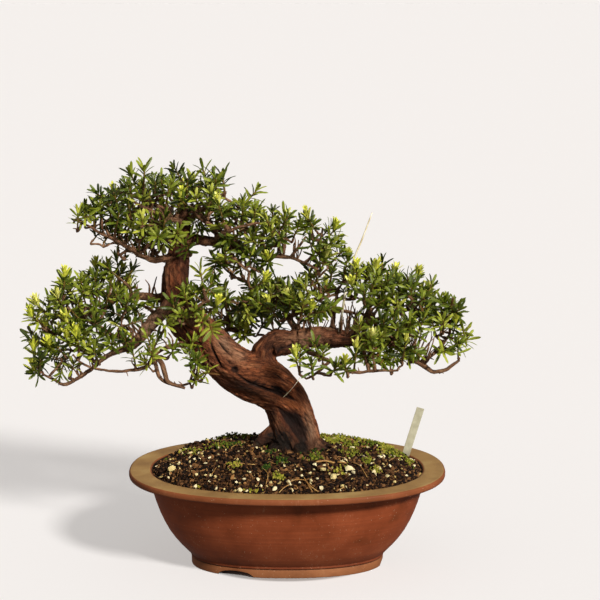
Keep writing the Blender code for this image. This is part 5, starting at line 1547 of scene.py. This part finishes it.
def makeTag():
    foot, top = Vector(tagShape["foot"]), Vector(tagShape["top"])
    length, half, point = (top - foot).length, tagShape["width"] / 2, tagShape["point"]
    bm = bmesh.new()
    outline = ((0, 0), (half, point), (half, length), (-half, length), (-half, point))
    face = bm.faces.new([bm.verts.new((x, -tagShape["thickness"] / 2, z)) for x, z in outline])
    grown = bmesh.ops.extrude_face_region(bm, geom=[face])["geom"]
    moved = [item for item in grown if isinstance(item, bmesh.types.BMVert)]
    bmesh.ops.translate(bm, vec=(0, tagShape["thickness"], 0), verts=moved)
    upright = [edge for edge in bm.edges if abs(edge.verts[0].co.y - edge.verts[1].co.y) > 0.5
               and edge.verts[0].co.z > length - 1]
    bmesh.ops.bevel(bm, geom=upright, offset=0.8, affect="EDGES", segments=4, profile=0.5, material=-1)
    bmesh.ops.recalc_face_normals(bm, faces=bm.faces)
    rims = [edge for edge in bm.edges if edge.is_manifold and edge.calc_face_angle() > 1]
    bmesh.ops.bevel(bm, geom=rims, offset=0.15, affect="EDGES", segments=2, profile=0.5, material=-1)
    lean = math.atan2(top.x - foot.x, top.z - foot.z)
    matrix = toFrame @ Matrix.Translation(foot) @ Matrix.Rotation(lean, 4, "Y")
    bmesh.ops.transform(bm, matrix=matrix, verts=bm.verts)
    # Polypropylene label: grey-beige, cut from sheet, with a fine grain and a soft sheen, soiled at the foot
    material, tree, shader = newMaterial("polypropyleneLabel", {
        "Metallic": 0, "Roughness": 0.48, "IOR": 1.49, "Specular IOR Level": 0.4,
    })
    place = objectPlace(tree)
    cloud = noisy(tree, place, 160, 3)
    plastic = toneRamp(tree, cloud, (0.3, "a9a58c"), (0.7, "c0bda4"))
    soiled = spread(tree, axes(tree, place)[2], 0.122, 0.112, 0, 0.7)
    paint(tree, shader, blend(tree, soiled, plastic, "4a3a26"), cloud, 0.1, 0.0002)
    makePiece("plantTag", meshFrom(bm, "tag"), material, "tag_plastic", "plant_tag")


def makeStraw():
    count = len(strawPath) - 1
    rows = [(*place, 1.5 - 0.8 * (index / count) ** 2) for index, place in enumerate(strawPath)]
    mesh = tubeMesh("straw", [smoothPath(rows, 6)], 10)
    mesh.transform(toFrame)
    mesh.shade_smooth()
    bleached = strawMaterial("driedGrass", ("c2b186", "e0d6b4", "f3eede"))
    makePiece("grassStem", mesh, bleached, "dry_straw", "grass_stem")
    fibre = smoothPath(((15.5, -16, 221, 0.28), (10, -22, 214, 0.26), (4, -24.5, 207, 0.26), (-4, -27, 199.6, 0.2)), 5)
    mesh = tubeMesh("fibre", [fibre], 6)
    mesh.transform(toFrame)
    makePiece("looseFibre", mesh, bleached, "dry_straw")


def dressScreens():
    # Polyethylene mesh: black and moulded, with a dull sheen
    material, tree, shader = newMaterial("polyethyleneMesh", {"Metallic": 0, "Roughness": 0.55, "IOR": 1.5})
    cloud = noisy(tree, objectPlace(tree), 300, 2)
    paint(tree, shader, toneRamp(tree, cloud, (0.3, "101010"), (0.7, "262422")))
    for name in ("drain_screen_left", "drain_screen_right"):
        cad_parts[name].material_slots[0].material = material


makeTag()
makeStraw()
dressScreens()
print("tag, grass stem and screens in place")


# ---- floor and light

studio = {
    "floor": "aeaeb0", "floorGlow": 0.5,
    "footHalf": (0.1, 0.073), "footEdge": (0.95, 1.02),  # the floor has no glow under the pot's foot
    "backdrop": "f6f1ed", "backdropStrength": 0.28, "backdropDistance": 600, "backdropHeight": 300,
    "backdropGlow": 1.0,
    "lights": (  # name, turn to the right of the camera, height in degrees, softness in degrees, strength
        ("keyLight", 36, 32, 9, 4.6), ("fillLight", -40, 50, 60, 0.15),
    ),
    "lightColour": "fffaf3",
}


def makeStudio():
    bm = bmesh.new()
    bmesh.ops.create_circle(bm, cap_ends=True, segments=64, radius=studio["backdropDistance"])
    rim = bmesh.ops.extrude_edge_only(bm, edges=list(bm.edges))["geom"]
    raised = [item for item in rim if isinstance(item, bmesh.types.BMVert)]
    bmesh.ops.translate(bm, verts=raised, vec=(0, 0, studio["backdropHeight"]))
    for face in bm.faces:
        face.material_index = 1 if len(face.verts) == 4 else 0
    floor = bpy.data.objects.new("floor", meshFrom(bm, "floor"))
    bpy.context.scene.collection.objects.link(floor)
    floorPaint, tree, shader = newMaterial("paintedFloor", {
        "Base Color": hexColour(studio["floor"]), "Roughness": 0.9, "Specular IOR Level": 0,
        "Emission Color": hexColour(studio["backdrop"]),
    })
    wide, deep = studio["footHalf"]
    foot = addNode(tree, "Mapping", {"Location": (-potMiddle.x / wide, 0, 0), "Scale": (1 / wide, 1 / deep, 0)}, {
        "Vector": objectPlace(tree),
    })
    away = addNode(tree, "VectorMath", {"operation": "LENGTH"}, {0: foot.outputs[0]}).outputs[1]
    glow = spread(tree, away, *studio["footEdge"], 0, studio["floorGlow"])
    tree.links.new(glow, shader.inputs["Emission Strength"])
    backdropPaint, _, _ = newMaterial("litBackdrop", {
        "Base Color": (0, 0, 0, 1), "Roughness": 1, "Specular IOR Level": 0,
        "Emission Color": hexColour(studio["backdrop"]), "Emission Strength": studio["backdropGlow"],
    })
    floor.data.materials.append(floorPaint)
    floor.data.materials.append(backdropPaint)
    floor.visible_diffuse = floor.visible_glossy = False  # so the undersides stay deep
    world = bpy.data.worlds.new("studioBackdrop")
    world.use_nodes = True
    world.node_tree.nodes["Background"].inputs[0].default_value = hexColour(studio["backdrop"])
    world.node_tree.nodes["Background"].inputs[1].default_value = studio["backdropStrength"]
    bpy.context.scene.world = world
    for name, turn, height, softness, strength in studio["lights"]:
        data = bpy.data.lights.new(name, "SUN")
        data.angle, data.energy = math.radians(softness), strength
        data.color = hexColour(studio["lightColour"])[:3]
        light = bpy.data.objects.new(name, data)
        bpy.context.scene.collection.objects.link(light)
        light.rotation_euler = (math.radians(90 - height), 0, math.radians(turn))
    bpy.context.scene.view_settings.view_transform = "Standard"


makeStudio()
print("studio lit")
